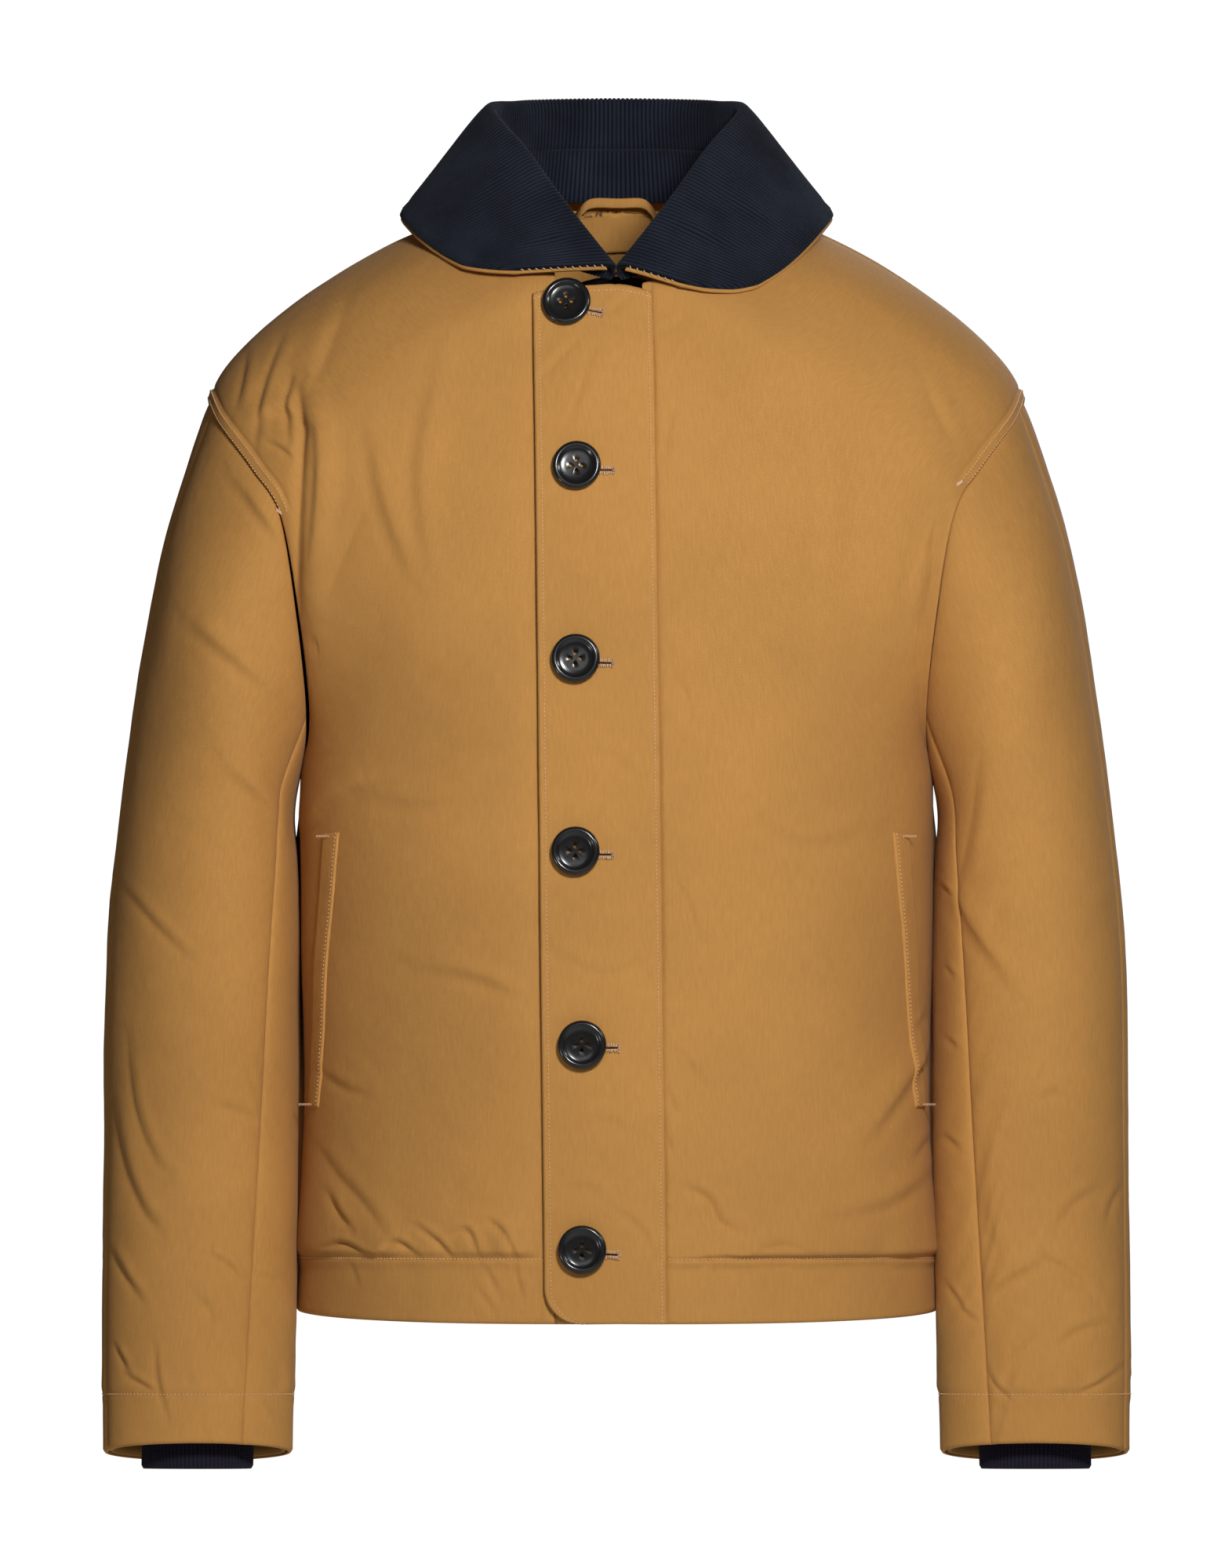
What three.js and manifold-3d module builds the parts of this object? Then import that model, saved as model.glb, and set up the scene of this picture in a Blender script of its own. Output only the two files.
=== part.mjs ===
// A man's deck jacket hanging as it is worn: a tan cotton shell, a navy corduroy collar, a buttoned
// front placket, slanted side pockets and ribbed inner cuffs. Millimetres. +Z is up, the front of the
// jacket faces -Y and the wearer's left is +X. The origin is on the centre plane, level with the
// highest point of the shoulder seams.
import * as THREE from "three";
import { mergeVertices } from "three/addons/utils/BufferGeometryUtils.js";
import Module from "manifold-3d";

const wasm = await Module();
wasm.setup();

// ---------------------------------------------------------------- driving dimensions
const CLOTH = 1.6; // thickness of one layer of shell cloth with its interlining
const SEAM_GAP = 0.4; // clearance between layers that touch
const HEM_DEPTH = 38; // turned-up hem
const PLACKET_THICKNESS = 2.4; // two layers of cloth
const STAND_EDGE = 38; // the button stand starts this far to the wearer's right of the centre
const PLACKET_TOP = [-51, 22]; // left and right edge of the placket at the neck
const PLACKET_FOOT = [-43.5, 31]; // and at the hem
const PLACKET_LAP = 6; // the placket laps the left front by this much
const PLACKET_CORNER = 22; // radius of the placket's free lower corner
const BUTTON_X = [-30, -24, -24.5, -24.5, -20.5, -20.5];
const BUTTON_Z = [-48, -148, -266, -384, -503, -629];
const BUTTON_RADIUS = 15;
const BUTTON_LIFT = 4.4; // back of the button above the shell
const BUTTON_HOLE_RADIUS = 1.4;
const BUTTON_HOLE_REACH = 3.4; // from the button's centre to each of its four holes
const SHANK_RADIUS = 1.5;
const EYELET_RADIUS = 2.2; // round end of a buttonhole, where the shank passes
const SLIT_LENGTH = 22;
const SLIT_HEIGHT = 1.2;
const LINING_OFFSET = -6.2; // outer face of the lining, inside the shell
const LINING_THICKNESS = 1.8;
const POCKET_OFFSET = -3.2; // outer face of a pocket bag, which lies flat between shell and lining
const POCKET_THICKNESS = 1.2;
const WELT_THICKNESS = 1.8;
const FACING_OFFSET = -CLOTH - SEAM_GAP;
const OUTER_SEAM = 0.04; // where the sleeve's outer seam lies, in turns from its outermost line
const FRONT_SEAM = [0.42, 0.33]; // the sleeve's front seam at the armhole and at the cuff, in turns
const CUFF_CENTRE = [258, -42, -755];
const RIB_HALF = [34.5, 23]; // half width and half depth of the ribbed cuff
const RIB_WALL = 2.2;
const RIB_Z = [-765, -702];
const COLLAR_CLOTH = 2.6;
const UNDER_COLLAR = 1.8;

// ---------------------------------------------------------------- key points of the body
// Each row of a body panel is a cubic curve from the neckline or centre line to the armhole or side
// seam. Rows 0 to 3 start on the neckline, row 3 at its middle; rows 0 to 6 end on the armhole, row 6
// under the arm; row 9 is the hem. Both panels share row 0, the shoulder seam, and the side seam.
const NECK_ROW = 3;
const UNDERARM_ROW = 6;
const HEM_ROW = 9;
const SHOULDER = [[84, 8, 4], [112, 6, 14], [243, 2, -65], [251, 0, -106]];
const FRONT = {
  outward: -1,
  rows: [
    SHOULDER,
    [[72, -50, -8], [108, -56, -6], [226, -56, -76], [244, -50, -122]],
    [[46, -88, -24], [95, -97, -34], [190, -96, -112], [224, -84, -150]],
    [[0, -108, -36], [55, -108, -38], [165, -116, -140], [207, -96, -178]],
    [[0, -126, -100], [70, -126, -100], [150, -128, -210], [196, -84, -240]],
    [[0, -142, -200], [90, -142, -200], [165, -120, -272], [190, -50, -300]],
    [[0, -150, -310], [105, -150, -312], [194, -92, -330], [194, 0, -330]],
    [[0, -151, -430], [107, -151, -430], [194, -84, -430], [194, 0, -430]],
    [[0, -149, -545], [106, -149, -545], [192, -83, -545], [192, 0, -545]],
    [[0, -148, -675], [110, -148, -676], [198, -84, -673], [198, 0, -667]],
  ],
};
const BACK = {
  outward: 1,
  rows: [
    SHOULDER,
    [[66, 48, 9], [106, 54, 10], [228, 52, -71], [248, 46, -124]],
    [[38, 67, 12], [95, 78, 4], [204, 92, -95], [240, 80, -158]],
    [[0, 75, 12], [60, 78, 9], [190, 120, -132], [232, 94, -204]],
    [[0, 104, -60], [75, 104, -60], [180, 128, -190], [220, 86, -256]],
    [[0, 124, -160], [90, 124, -160], [175, 116, -266], [203, 52, -305]],
    [[0, 131, -300], [105, 131, -302], [194, 80, -330], [194, 0, -330]],
    [[0, 132, -430], [107, 132, -430], [194, 73, -430], [194, 0, -430]],
    [[0, 131, -545], [106, 131, -545], [192, 72, -545], [192, 0, -545]],
    [[0, 130, -673], [110, 130, -673], [198, 72, -669], [198, 0, -667]],
  ],
};
FRONT.other = BACK;
BACK.other = FRONT;

// Rings of the left sleeve below the armhole: centre, half axis to the outer line, half axis to the
// front line. The last ring is the cuff edge, which is tipped so that its back hangs lower.
const SLEEVE_RINGS = [
  [[239, 0, -280], [39.5, 0, 82], [0, -98, 0]],
  [[248, -1, -358], [51, 0, 42], [0, -88, 0]],
  [[254.5, -4, -452], [58, 0, 15], [0, -74, 0]],
  [[256, -12, -556], [59, 0, 0], [0, -61, 3]],
  [[257.5, -26, -658], [58.5, 0, 0], [0, -48, 5]],
  [CUFF_CENTRE, [57.5, 0, 0], [0, -38, 6]],
];

// Half of the collar from the middle of the back to one front end, at seven stations: where it is sewn
// to the neckline, its roll line and the outer edge of the fall.
const COLLAR_SEAM = [[0, 72, 14], [37, 64.5, 14], [63, 46, 11], [80.5, 8, 6], [69, -48, -6],
  [44, -85, -22], [3, -105, -33]];
const COLLAR_ROLL = [[0, 86, 79], [34, 80, 78.5], [62, 58, 77], [78, 14, 73], [58, -36, 48],
  [32, -78, 12], [3, -117, -26]];
const RIGHT_COLLAR_EDGE = [[0, 108, 3], [50, 102, 2], [98, 78, 3], [132, 24, 8], [127, -30, -3],
  [108, -66, -18], [86, -96, -29]];
const LEFT_COLLAR_EDGE = [[0, 108, 3], [50, 102, 2], [98, 78, 3], [132, 24, 8], [128, -28, -3],
  [105, -74, -26], [72, -110, -46]];
const COLLAR_END = 6;
const WING_START = 3.6; // the collar points lift from this station forward
const STAND_SHARE = 0.44; // height of the stand band in the inner face of the collar
const ROLL_SHARE = 0.13; // the inner face turns over the roll by this much of the fall

// ---------------------------------------------------------------- colours
const TAN = 0xba884d;
const TAN_SHADE = 0xa8763d;
const NAVY = 0x1c1c26;
const RIB_NAVY = 0x23202a;
const BLACK = 0x202123;
const THREAD = 0xc8a27c;

const shell = () => new THREE.MeshStandardMaterial({ color: TAN, roughness: 0.85, metalness: 0 });
const facing = () => new THREE.MeshStandardMaterial({ color: TAN_SHADE, roughness: 0.9, metalness: 0 });
const corduroy = () => new THREE.MeshStandardMaterial({ color: NAVY, roughness: 0.95, metalness: 0 });
const rib = () => new THREE.MeshStandardMaterial({ color: RIB_NAVY, roughness: 0.95, metalness: 0 });
const horn = () => new THREE.MeshStandardMaterial({ color: BLACK, roughness: 0.2, metalness: 0 });
const thread = () => new THREE.MeshStandardMaterial({ color: THREAD, roughness: 0.8, metalness: 0 });

// ---------------------------------------------------------------- curves
const vec = (p) => new THREE.Vector3(...p);
const mirrored = (p) => new THREE.Vector3(-p.x, p.y, p.z);
const reflected = (a, b) => a.clone().multiplyScalar(2).sub(b);
const mix = (a, b, t) => a + (b - a) * t;

// The uniform Catmull-Rom span from b to c.
function span(a, b, c, d, t) {
  const t2 = t * t;
  const t3 = t2 * t;
  return new THREE.Vector3()
    .addScaledVector(a, -0.5 * t3 + t2 - 0.5 * t)
    .addScaledVector(b, 1.5 * t3 - 2.5 * t2 + 1)
    .addScaledVector(c, -1.5 * t3 + 2 * t2 + 0.5 * t)
    .addScaledVector(d, 0.5 * t3 - 0.5 * t2);
}

// A smooth curve through all keys. before and after steer its two ends.
function through(keys, s, before, after) {
  const last = keys.length - 1;
  const i = Math.min(Math.floor(s), last - 1);
  const a = i > 0 ? keys[i - 1] : before || reflected(keys[0], keys[1]);
  const d = i < last - 1 ? keys[i + 2] : after || reflected(keys[last], keys[last - 1]);
  return span(a, keys[i], keys[i + 1], d, s - i);
}

function bezier(b, u) {
  const w = 1 - u;
  return new THREE.Vector3()
    .addScaledVector(b[0], w * w * w)
    .addScaledVector(b[1], 3 * w * w * u)
    .addScaledVector(b[2], 3 * w * u * u)
    .addScaledVector(b[3], u * u * u);
}

// ---------------------------------------------------------------- body surface
// One of the four columns of control points, s rows down. The neckline column turns a corner at the
// neck point and the armhole column under the arm, so each is two smooth curves.
function column(panel, c, s) {
  const keys = panel.rows.map((row) => vec(row[c]));
  const corner = [NECK_ROW, HEM_ROW, HEM_ROW, UNDERARM_ROW][c];
  if (s > corner) return through(keys.slice(corner), s - corner);
  const over = vec(panel.other.rows[1][c]);
  const past = { 0: mirrored(keys[NECK_ROW - 1]), 3: vec(panel.other.rows[UNDERARM_ROW - 1][3]) }[c];
  return through(keys.slice(0, corner + 1), s, over, past);
}

const bodyPoint = (panel, u, s) => bezier([0, 1, 2, 3].map((c) => column(panel, c, s)), u);

// The point on a surface, raised along its outward normal.
function raised(surface, a, b, offset, outward) {
  const h = 1e-3;
  const p = surface(a, b);
  const da = surface(a + h, b).sub(surface(a - h, b));
  const db = surface(a, b + h).sub(surface(a, b - h));
  return p.addScaledVector(da.cross(db).normalize(), offset * outward);
}

function bodyOffset(panel, u, s, offset) {
  const inside = THREE.MathUtils.clamp(s, 0.002, HEM_ROW - 0.002);
  const surface = (a, b) => bodyPoint(panel, THREE.MathUtils.clamp(a, 0, 1), b);
  const p = raised(surface, u, inside, offset, panel.outward);
  if (u === 0 && s >= NECK_ROW) p.x = 0;
  return p;
}

// Where a row of the front reaches a distance x from the centre plane.
function shareAt(panel, x, s) {
  let low = 0;
  let high = 1;
  for (let i = 0; i < 40; i++) {
    const middle = (low + high) / 2;
    if (bodyPoint(panel, middle, s).x < x) low = middle;
    else high = middle;
  }
  return low;
}

// A point of the front at a signed distance x from the centre plane.
function frontAt(x, s, offset) {
  const p = bodyOffset(FRONT, shareAt(FRONT, Math.abs(x), s), s, offset);
  return new THREE.Vector3(Math.sign(x) * Math.abs(p.x), p.y, p.z);
}

// The row at which a line at distance x from the centre plane is z high.
function rowAt(x, z) {
  let low = NECK_ROW;
  let high = HEM_ROW;
  for (let i = 0; i < 30; i++) {
    const middle = (low + high) / 2;
    if (frontAt(x, middle, 0).z > z) low = middle;
    else high = middle;
  }
  return low;
}

// ---------------------------------------------------------------- sleeve surface
const turns = (a) => a - Math.floor(a);

function armhole(a) {
  const t = turns(a);
  return t <= 0.5
    ? column(FRONT, 3, 2 * UNDERARM_ROW * t)
    : column(BACK, 3, 2 * UNDERARM_ROW * (1 - t));
}

function ring([centre, outer, front], a) {
  return vec(centre)
    .addScaledVector(vec(outer), Math.cos(2 * Math.PI * a))
    .addScaledVector(vec(front), Math.sin(2 * Math.PI * a));
}

// a runs round the left sleeve in turns from its outer line by the front; r counts rings down from
// the armhole, which is ring 0.
const sleevePoint = (a, r) => through([armhole(a), ...SLEEVE_RINGS.map((k) => ring(k, a))], r);
const CUFF_RING = SLEEVE_RINGS.length;

function sleeveOffset(a, r, offset) {
  const inside = THREE.MathUtils.clamp(r, 0.002, CUFF_RING - 0.002);
  return raised(sleevePoint, a, inside, offset, 1);
}

const frontSeam = (r) => mix(FRONT_SEAM[0], FRONT_SEAM[1], r / CUFF_RING);

// ---------------------------------------------------------------- collar surface
// k runs from the middle of the back, 0, to the front end; w from the neckline, 0, over the roll
// line, 1, to the outer edge of the fall, 2.
function collarPoint(edge, k, w) {
  const round = (keys) => {
    const points = keys.map(vec);
    return through(points, k, mirrored(points[1]));
  };
  const seam = round(COLLAR_SEAM);
  const roll = round(COLLAR_ROLL);
  const rim = round(edge);
  const outward = rim.clone().sub(roll).setZ(0).normalize();
  if (w <= 1) {
    const lean = roll.clone().sub(seam);
    const low = seam.clone().addScaledVector(lean, 0.35).addScaledVector(outward, -1.5);
    const high = roll.clone().addScaledVector(outward, -5).add(new THREE.Vector3(0, 0, -1));
    return bezier([seam, low, high, roll], w);
  }
  const over = roll.clone().addScaledVector(outward, 12).add(new THREE.Vector3(0, 0, 2));
  const fall = rim.clone().lerp(roll, 0.4).addScaledVector(outward, 9);
  return bezier([roll, over, fall, rim], w - 1);
}

function collarOffset(edge, k, w, offset) {
  const surface = (a, b) => collarPoint(edge, a, b);
  const inside = THREE.MathUtils.clamp(w, 0.002, 1.998);
  const end = THREE.MathUtils.clamp(k, 0.002, COLLAR_END - 0.002);
  const p = raised(surface, end, inside, offset, 1);
  if (k === 0) p.x = 0;
  return p;
}

// ---------------------------------------------------------------- solids
// Even steps from a to b, both included.
const steps = (a, b, n) => Array.from({ length: n + 1 }, (_, i) => mix(a, b, i / n));

function geometryOf(points, triangles) {
  const g = new THREE.BufferGeometry();
  g.setAttribute("position", new THREE.Float32BufferAttribute(points.flatMap((p) => [p.x, p.y, p.z]), 3));
  g.setIndex(triangles);
  return g;
}

function volumeOf(points, triangles) {
  let volume = 0;
  for (let i = 0; i < triangles.length; i += 3) {
    const [a, b, c] = triangles.slice(i, i + 3).map((n) => points[n]);
    volume += a.dot(b.clone().cross(c)) / 6;
  }
  return volume;
}

// A layer of cloth between two faces given on the same grid. A closed layer is a tube: its last
// column meets its first.
function layer(columns, rows, face, closed = false) {
  const points = [];
  for (const side of [0, 1]) for (const b of rows) for (const a of columns) points.push(face(a, b, side));
  const across = columns.length;
  const down = rows.length;
  const at = (side, j, i) => side * across * down + j * across + (i % across);
  const triangles = [];
  const quad = (a, b, c, d) => triangles.push(a, b, c, a, c, d);
  const cells = closed ? across : across - 1;
  for (let i = 0; i < cells; i++) {
    for (let j = 0; j < down - 1; j++) {
      quad(at(0, j, i), at(0, j, i + 1), at(0, j + 1, i + 1), at(0, j + 1, i));
      quad(at(1, j, i), at(1, j + 1, i), at(1, j + 1, i + 1), at(1, j, i + 1));
    }
    quad(at(0, 0, i), at(1, 0, i), at(1, 0, i + 1), at(0, 0, i + 1));
    quad(at(0, down - 1, i), at(0, down - 1, i + 1), at(1, down - 1, i + 1), at(1, down - 1, i));
  }
  for (let j = 0; !closed && j < down - 1; j++) {
    const e = across - 1;
    quad(at(0, j, 0), at(0, j + 1, 0), at(1, j + 1, 0), at(1, j, 0));
    quad(at(0, j, e), at(1, j, e), at(1, j + 1, e), at(0, j + 1, e));
  }
  if (volumeOf(points, triangles) < 0) triangles.reverse();
  return geometryOf(points, triangles);
}

function solidOf(geometry) {
  const plain = geometry.clone();
  plain.deleteAttribute("normal");
  plain.deleteAttribute("uv");
  const merged = mergeVertices(plain, 1e-4);
  const index = [...merged.index.array];
  const kept = [];
  for (let i = 0; i < index.length; i += 3) {
    const [a, b, c] = index.slice(i, i + 3);
    if (a !== b && b !== c && c !== a) kept.push(a, b, c);
  }
  const vertProperties = merged.attributes.position.array;
  return new wasm.Manifold(new wasm.Mesh({ numProp: 3, vertProperties, triVerts: new Uint32Array(kept) }));
}

function meshOf(solid) {
  const made = solid.getMesh();
  const g = new THREE.BufferGeometry();
  g.setAttribute("position", new THREE.BufferAttribute(new Float32Array(made.vertProperties), 3));
  g.setIndex([...made.triVerts]);
  return g;
}

const less = (geometry, cutters) =>
  meshOf(cutters.reduce((a, c) => a.subtract(solidOf(c)), solidOf(geometry)));
const joined = (a, b) => meshOf(solidOf(a).add(solidOf(b)));

function reflectedGeometry(geometry) {
  const g = geometry.clone();
  g.applyMatrix4(new THREE.Matrix4().makeScale(-1, 1, 1));
  g.setIndex([...g.index.array].reverse());
  return g;
}

const jacket = new THREE.Group();
jacket.name = "deck_jacket";

function addMesh(name, geometry, material) {
  const mesh = new THREE.Mesh(geometry, material);
  mesh.name = name;
  jacket.add(mesh);
  return mesh;
}

// The left and right copy of a piece that is the same on both sides.
function addPair(name, geometry, material) {
  addMesh("left_" + name, geometry, material());
  addMesh("right_" + name, reflectedGeometry(geometry), material());
}

// ---------------------------------------------------------------- body panels
const SEAM = 0.004; // what a seam takes off a row or a column of a panel
const BODY_ROWS = [0.006, ...steps(0.5, HEM_ROW, 17)];

// A layer on one half of a body panel. first gives the share of each row where the layer starts.
function bodyLayer(panel, rows, cells, first, last, low, thickness) {
  const offsets = [low + thickness, low];
  return layer(steps(0, 1, cells), rows, (a, s, side) =>
    bodyOffset(panel, mix(first(s), last(s), a), s, offsets[side]),
  );
}

const edgeTo = (x) => (s) => (column(FRONT, 0, s).x >= x(s) ? 0 : shareAt(FRONT, x(s), s));
const whole = () => 1 - SEAM;
const fromCentre = () => 0;
const placketEdge = (i) => (s) =>
  mix(PLACKET_TOP[i], PLACKET_FOOT[i], THREE.MathUtils.clamp((s - NECK_ROW) / (HEM_ROW - NECK_ROW), 0, 1));
const leftFrontEdge = (s) => placketEdge(1)(s) - PLACKET_LAP;

const CELLS = 8; // across half a panel
const backHalf = bodyLayer(BACK, BODY_ROWS, CELLS, fromCentre, whole, -CLOTH, CLOTH);
addMesh("back_panel", joined(backHalf, reflectedGeometry(backHalf)), shell());

const leftFront = bodyLayer(FRONT, BODY_ROWS, CELLS, edgeTo(leftFrontEdge), whole, -CLOTH, CLOTH);
addMesh("left_front_panel", leftFront, shell());
const rightFrontEdge = () => STAND_EDGE;
const rightFront = bodyLayer(FRONT, BODY_ROWS, CELLS, edgeTo(rightFrontEdge), whole, -CLOTH, CLOTH);
addMesh("right_front_panel", reflectedGeometry(rightFront), shell());

// The strip that carries the buttons fills the body between the two fronts.
const CENTRE_ROWS = BODY_ROWS.filter((s) => s >= NECK_ROW);
const buttonStand = layer(steps(0, 1, 3), CENTRE_ROWS, (a, s, side) =>
  frontAt(mix(-STAND_EDGE + SEAM_GAP, leftFrontEdge(s) - SEAM_GAP, a), s, side ? -CLOTH : 0),
);
addMesh("button_stand", buttonStand, shell());

// ---------------------------------------------------------------- placket and its buttonholes
// A frame on the front at a button: its own -Y looks out along the surface normal.
function buttonPlace(i, offset) {
  const s = rowAt(BUTTON_X[i], BUTTON_Z[i]);
  const at = frontAt(BUTTON_X[i], s, offset);
  const out = frontAt(BUTTON_X[i], s, offset + 1).sub(at).normalize();
  const turn = new THREE.Quaternion().setFromUnitVectors(new THREE.Vector3(0, -1, 0), out);
  return new THREE.Matrix4().compose(at, turn, new THREE.Vector3(1, 1, 1));
}

const PLACKET_ROWS = [...CENTRE_ROWS.slice(0, -1), 8.72, 8.82, 8.9, 8.96, HEM_ROW];
function placketLeft(s) {
  const x = placketEdge(0)(s);
  const rise = frontAt(x, s, 0).z - frontAt(x, HEM_ROW, 0).z;
  const reach = Math.max(PLACKET_CORNER - rise, 0);
  return x + PLACKET_CORNER - Math.sqrt(PLACKET_CORNER ** 2 - reach ** 2);
}
const placketSheet = layer(steps(0, 1, 5), PLACKET_ROWS, (a, s, side) =>
  frontAt(mix(placketLeft(s), placketEdge(1)(s), a), s, SEAM_GAP + (side ? 0 : PLACKET_THICKNESS)),
);
const buttonholes = BUTTON_X.flatMap((_, i) => {
  const depth = 4 * PLACKET_THICKNESS;
  const slit = new THREE.BoxGeometry(SLIT_LENGTH, depth, SLIT_HEIGHT).translate(SLIT_LENGTH / 2, 0, 0);
  const eyelet = new THREE.CylinderGeometry(EYELET_RADIUS, EYELET_RADIUS, depth, 8);
  return [slit, eyelet].map((cutter) => cutter.applyMatrix4(buttonPlace(i, 0)));
});
addMesh("front_placket", less(placketSheet, buttonholes), shell());

// ---------------------------------------------------------------- buttons and their thread shanks
// Radius and height of the button's outline: flat back, round rim, dished middle.
const BUTTON_OUTLINE = [[0, 0], [9.5, 0], [13.9, 0.9], [BUTTON_RADIUS, 2.4], [14.5, 4], [13, 4.9],
  [11.4, 4.6], [10, 3.3], [8.5, 2.9], [0, 2.6]];
function buttonGeometry() {
  const outline = BUTTON_OUTLINE.map(([r, h]) => new THREE.Vector2(r, -h)).reverse();
  const body = new THREE.LatheGeometry(outline, 16);
  const holes = [0, 1, 2, 3].map((q) => {
    const turn = (q * Math.PI) / 2;
    return new THREE.CylinderGeometry(BUTTON_HOLE_RADIUS, BUTTON_HOLE_RADIUS, BUTTON_RADIUS, 6)
      .translate(BUTTON_HOLE_REACH * Math.cos(turn), 0, BUTTON_HOLE_REACH * Math.sin(turn));
  });
  return less(body, holes);
}
BUTTON_X.forEach((_, i) => {
  const button = addMesh("button_" + (i + 1), buttonGeometry(), horn());
  button.applyMatrix4(buttonPlace(i, BUTTON_LIFT));
  const length = BUTTON_LIFT - 2 * SEAM_GAP;
  const shank = new THREE.CylinderGeometry(SHANK_RADIUS, SHANK_RADIUS, length, 8);
  addMesh("button_thread_" + (i + 1), shank, thread()).applyMatrix4(buttonPlace(i, BUTTON_LIFT / 2));
});

// ---------------------------------------------------------------- pockets
const POCKET_ROWS = [6.47, 7.98];
const WELT_SHARE = [0.7, 0.82]; // where on its row the welt lies, at its top and at its foot
const WELT_HALF = 0.034;
const weltShare = (s) =>
  mix(WELT_SHARE[0], WELT_SHARE[1], (s - POCKET_ROWS[0]) / (POCKET_ROWS[1] - POCKET_ROWS[0]));
addPair(
  "pocket_welt",
  bodyLayer(FRONT, steps(...POCKET_ROWS, 6), 2, (s) => weltShare(s) - WELT_HALF,
    (s) => weltShare(s) + WELT_HALF, SEAM_GAP, WELT_THICKNESS),
  shell,
);
addPair(
  "pocket_bag",
  bodyLayer(FRONT, steps(POCKET_ROWS[0], 8.15, 5), 4, () => 0.38, weltShare,
    POCKET_OFFSET - POCKET_THICKNESS, POCKET_THICKNESS),
  facing,
);

// ---------------------------------------------------------------- hem, facings and lining
const LAST_ROW_HEIGHT = 130; // from row 8 down to the hem
const hemStart = HEM_ROW - HEM_DEPTH / LAST_ROW_HEIGHT;
const hemRows = [hemStart, (hemStart + HEM_ROW) / 2, HEM_ROW - 0.01];
const inner = FACING_OFFSET - CLOTH;
const hemLayer = (panel, first) => bodyLayer(panel, hemRows, CELLS, first, whole, inner, CLOTH);
addMesh("left_hem_facing", hemLayer(FRONT, edgeTo(leftFrontEdge)), facing());
addMesh("right_hem_facing", reflectedGeometry(hemLayer(FRONT, edgeTo(rightFrontEdge))), facing());
const backHem = hemLayer(BACK, fromCentre);
addMesh("back_hem_facing", joined(backHem, reflectedGeometry(backHem)), facing());

const NECK_FACING_SHARE = 0.3; // how far out along the first rows the neck facing reaches
const LINING_ROWS = [0.35, ...steps(1, 8, 7), hemStart - 0.03];
const lined = LINING_OFFSET - LINING_THICKNESS;
addPair("front_lining",
  bodyLayer(FRONT, LINING_ROWS, 5, edgeTo(() => 62), () => 0.985, lined, LINING_THICKNESS),
  facing);
const belowNeckFacing = (s) => (s < NECK_ROW + 0.5 ? NECK_FACING_SHARE + 0.06 : 0);
const backLining = bodyLayer(BACK, LINING_ROWS, 5, belowNeckFacing, () => 0.985, lined, LINING_THICKNESS);
addMesh("back_lining", joined(backLining, reflectedGeometry(backLining)), facing());

// The tan strip inside the back neck, from below the collar seam down over the top of the lining.
const neckFacing = bodyLayer(BACK, [1.05, 1.5, 2, 2.5, NECK_ROW, 3.35], CELLS, fromCentre,
  () => NECK_FACING_SHARE, inner - 1.4, CLOTH);
addMesh("back_neck_facing", joined(neckFacing, reflectedGeometry(neckFacing)), facing());

// ---------------------------------------------------------------- sleeves and cuffs
const SLEEVE_ROWS = [0.006, 0.3, 0.65, 1, 1.5, 2, 2.5, 3, 3.6, 4.2, 4.8, 5.4, CUFF_RING];
const SEAM_TURN = 0.0012;

// A layer of the left sleeve between two lines that run down it, given as turns at each row.
function sleeveLayer(rows, cells, first, last, low, thickness) {
  return layer(steps(0, 1, cells), rows, (a, r, side) =>
    sleeveOffset(mix(first(r), last(r), a), r, low + (side ? 0 : thickness)),
  );
}

function sleeveTube(rows, cells, low, thickness) {
  return layer(steps(0, 1, cells).slice(0, -1), rows, (a, r, side) =>
    sleeveOffset(a, r, low + (side ? 0 : thickness)), true);
}

const outerEdge = (side) => () => OUTER_SEAM + side * SEAM_TURN;
const frontEdge = (side) => (r) => frontSeam(r) + side * SEAM_TURN;
const backEnd = () => 1 + OUTER_SEAM - SEAM_TURN;
addPair("sleeve_front", sleeveLayer(SLEEVE_ROWS, 6, outerEdge(1), frontEdge(-1), -CLOTH, CLOTH), shell);
addPair("sleeve_back", sleeveLayer(SLEEVE_ROWS, 9, frontEdge(1), backEnd, -CLOTH, CLOTH), shell);

const CUFF_FACING_ROWS = [CUFF_RING - 0.4, CUFF_RING - 0.01];
addPair("cuff_facing", sleeveTube(CUFF_FACING_ROWS, 20, -5.4, CLOTH), facing);
addPair("sleeve_lining", sleeveTube([0.5, 1.5, 2.5, 3.5, 4.5, CUFF_RING - 0.45], 14,
  LINING_OFFSET - LINING_THICKNESS, LINING_THICKNESS), facing);

// The knitted cuff hangs inside the sleeve end and shows just below it.
const ribCuff = layer(steps(0, 1, 20).slice(0, -1), steps(...RIB_Z, 3), (a, z, side) => {
  const wall = side ? RIB_WALL : 0;
  const turn = 2 * Math.PI * a;
  return new THREE.Vector3(
    CUFF_CENTRE[0] + (RIB_HALF[0] - wall) * Math.cos(turn),
    CUFF_CENTRE[1] - (RIB_HALF[1] - wall) * Math.sin(turn),
    z,
  );
}, true);
addPair("rib_cuff", ribCuff, rib);

// ---------------------------------------------------------------- collar
// A layer of the collar on the wearer's left, between stations and between heights.
function collarLayer(edge, stations, heights, low, thickness) {
  return layer(stations, heights, (k, w, side) => collarOffset(edge, k, w, low + (side ? 0 : thickness)));
}

// The same layer on both sides of the neck, joined at the middle of the back.
function fullCollar(stations, heights, low, thickness) {
  const half = collarLayer(LEFT_COLLAR_EDGE, stations, heights, low, thickness);
  return joined(half, reflectedGeometry(half));
}

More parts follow.
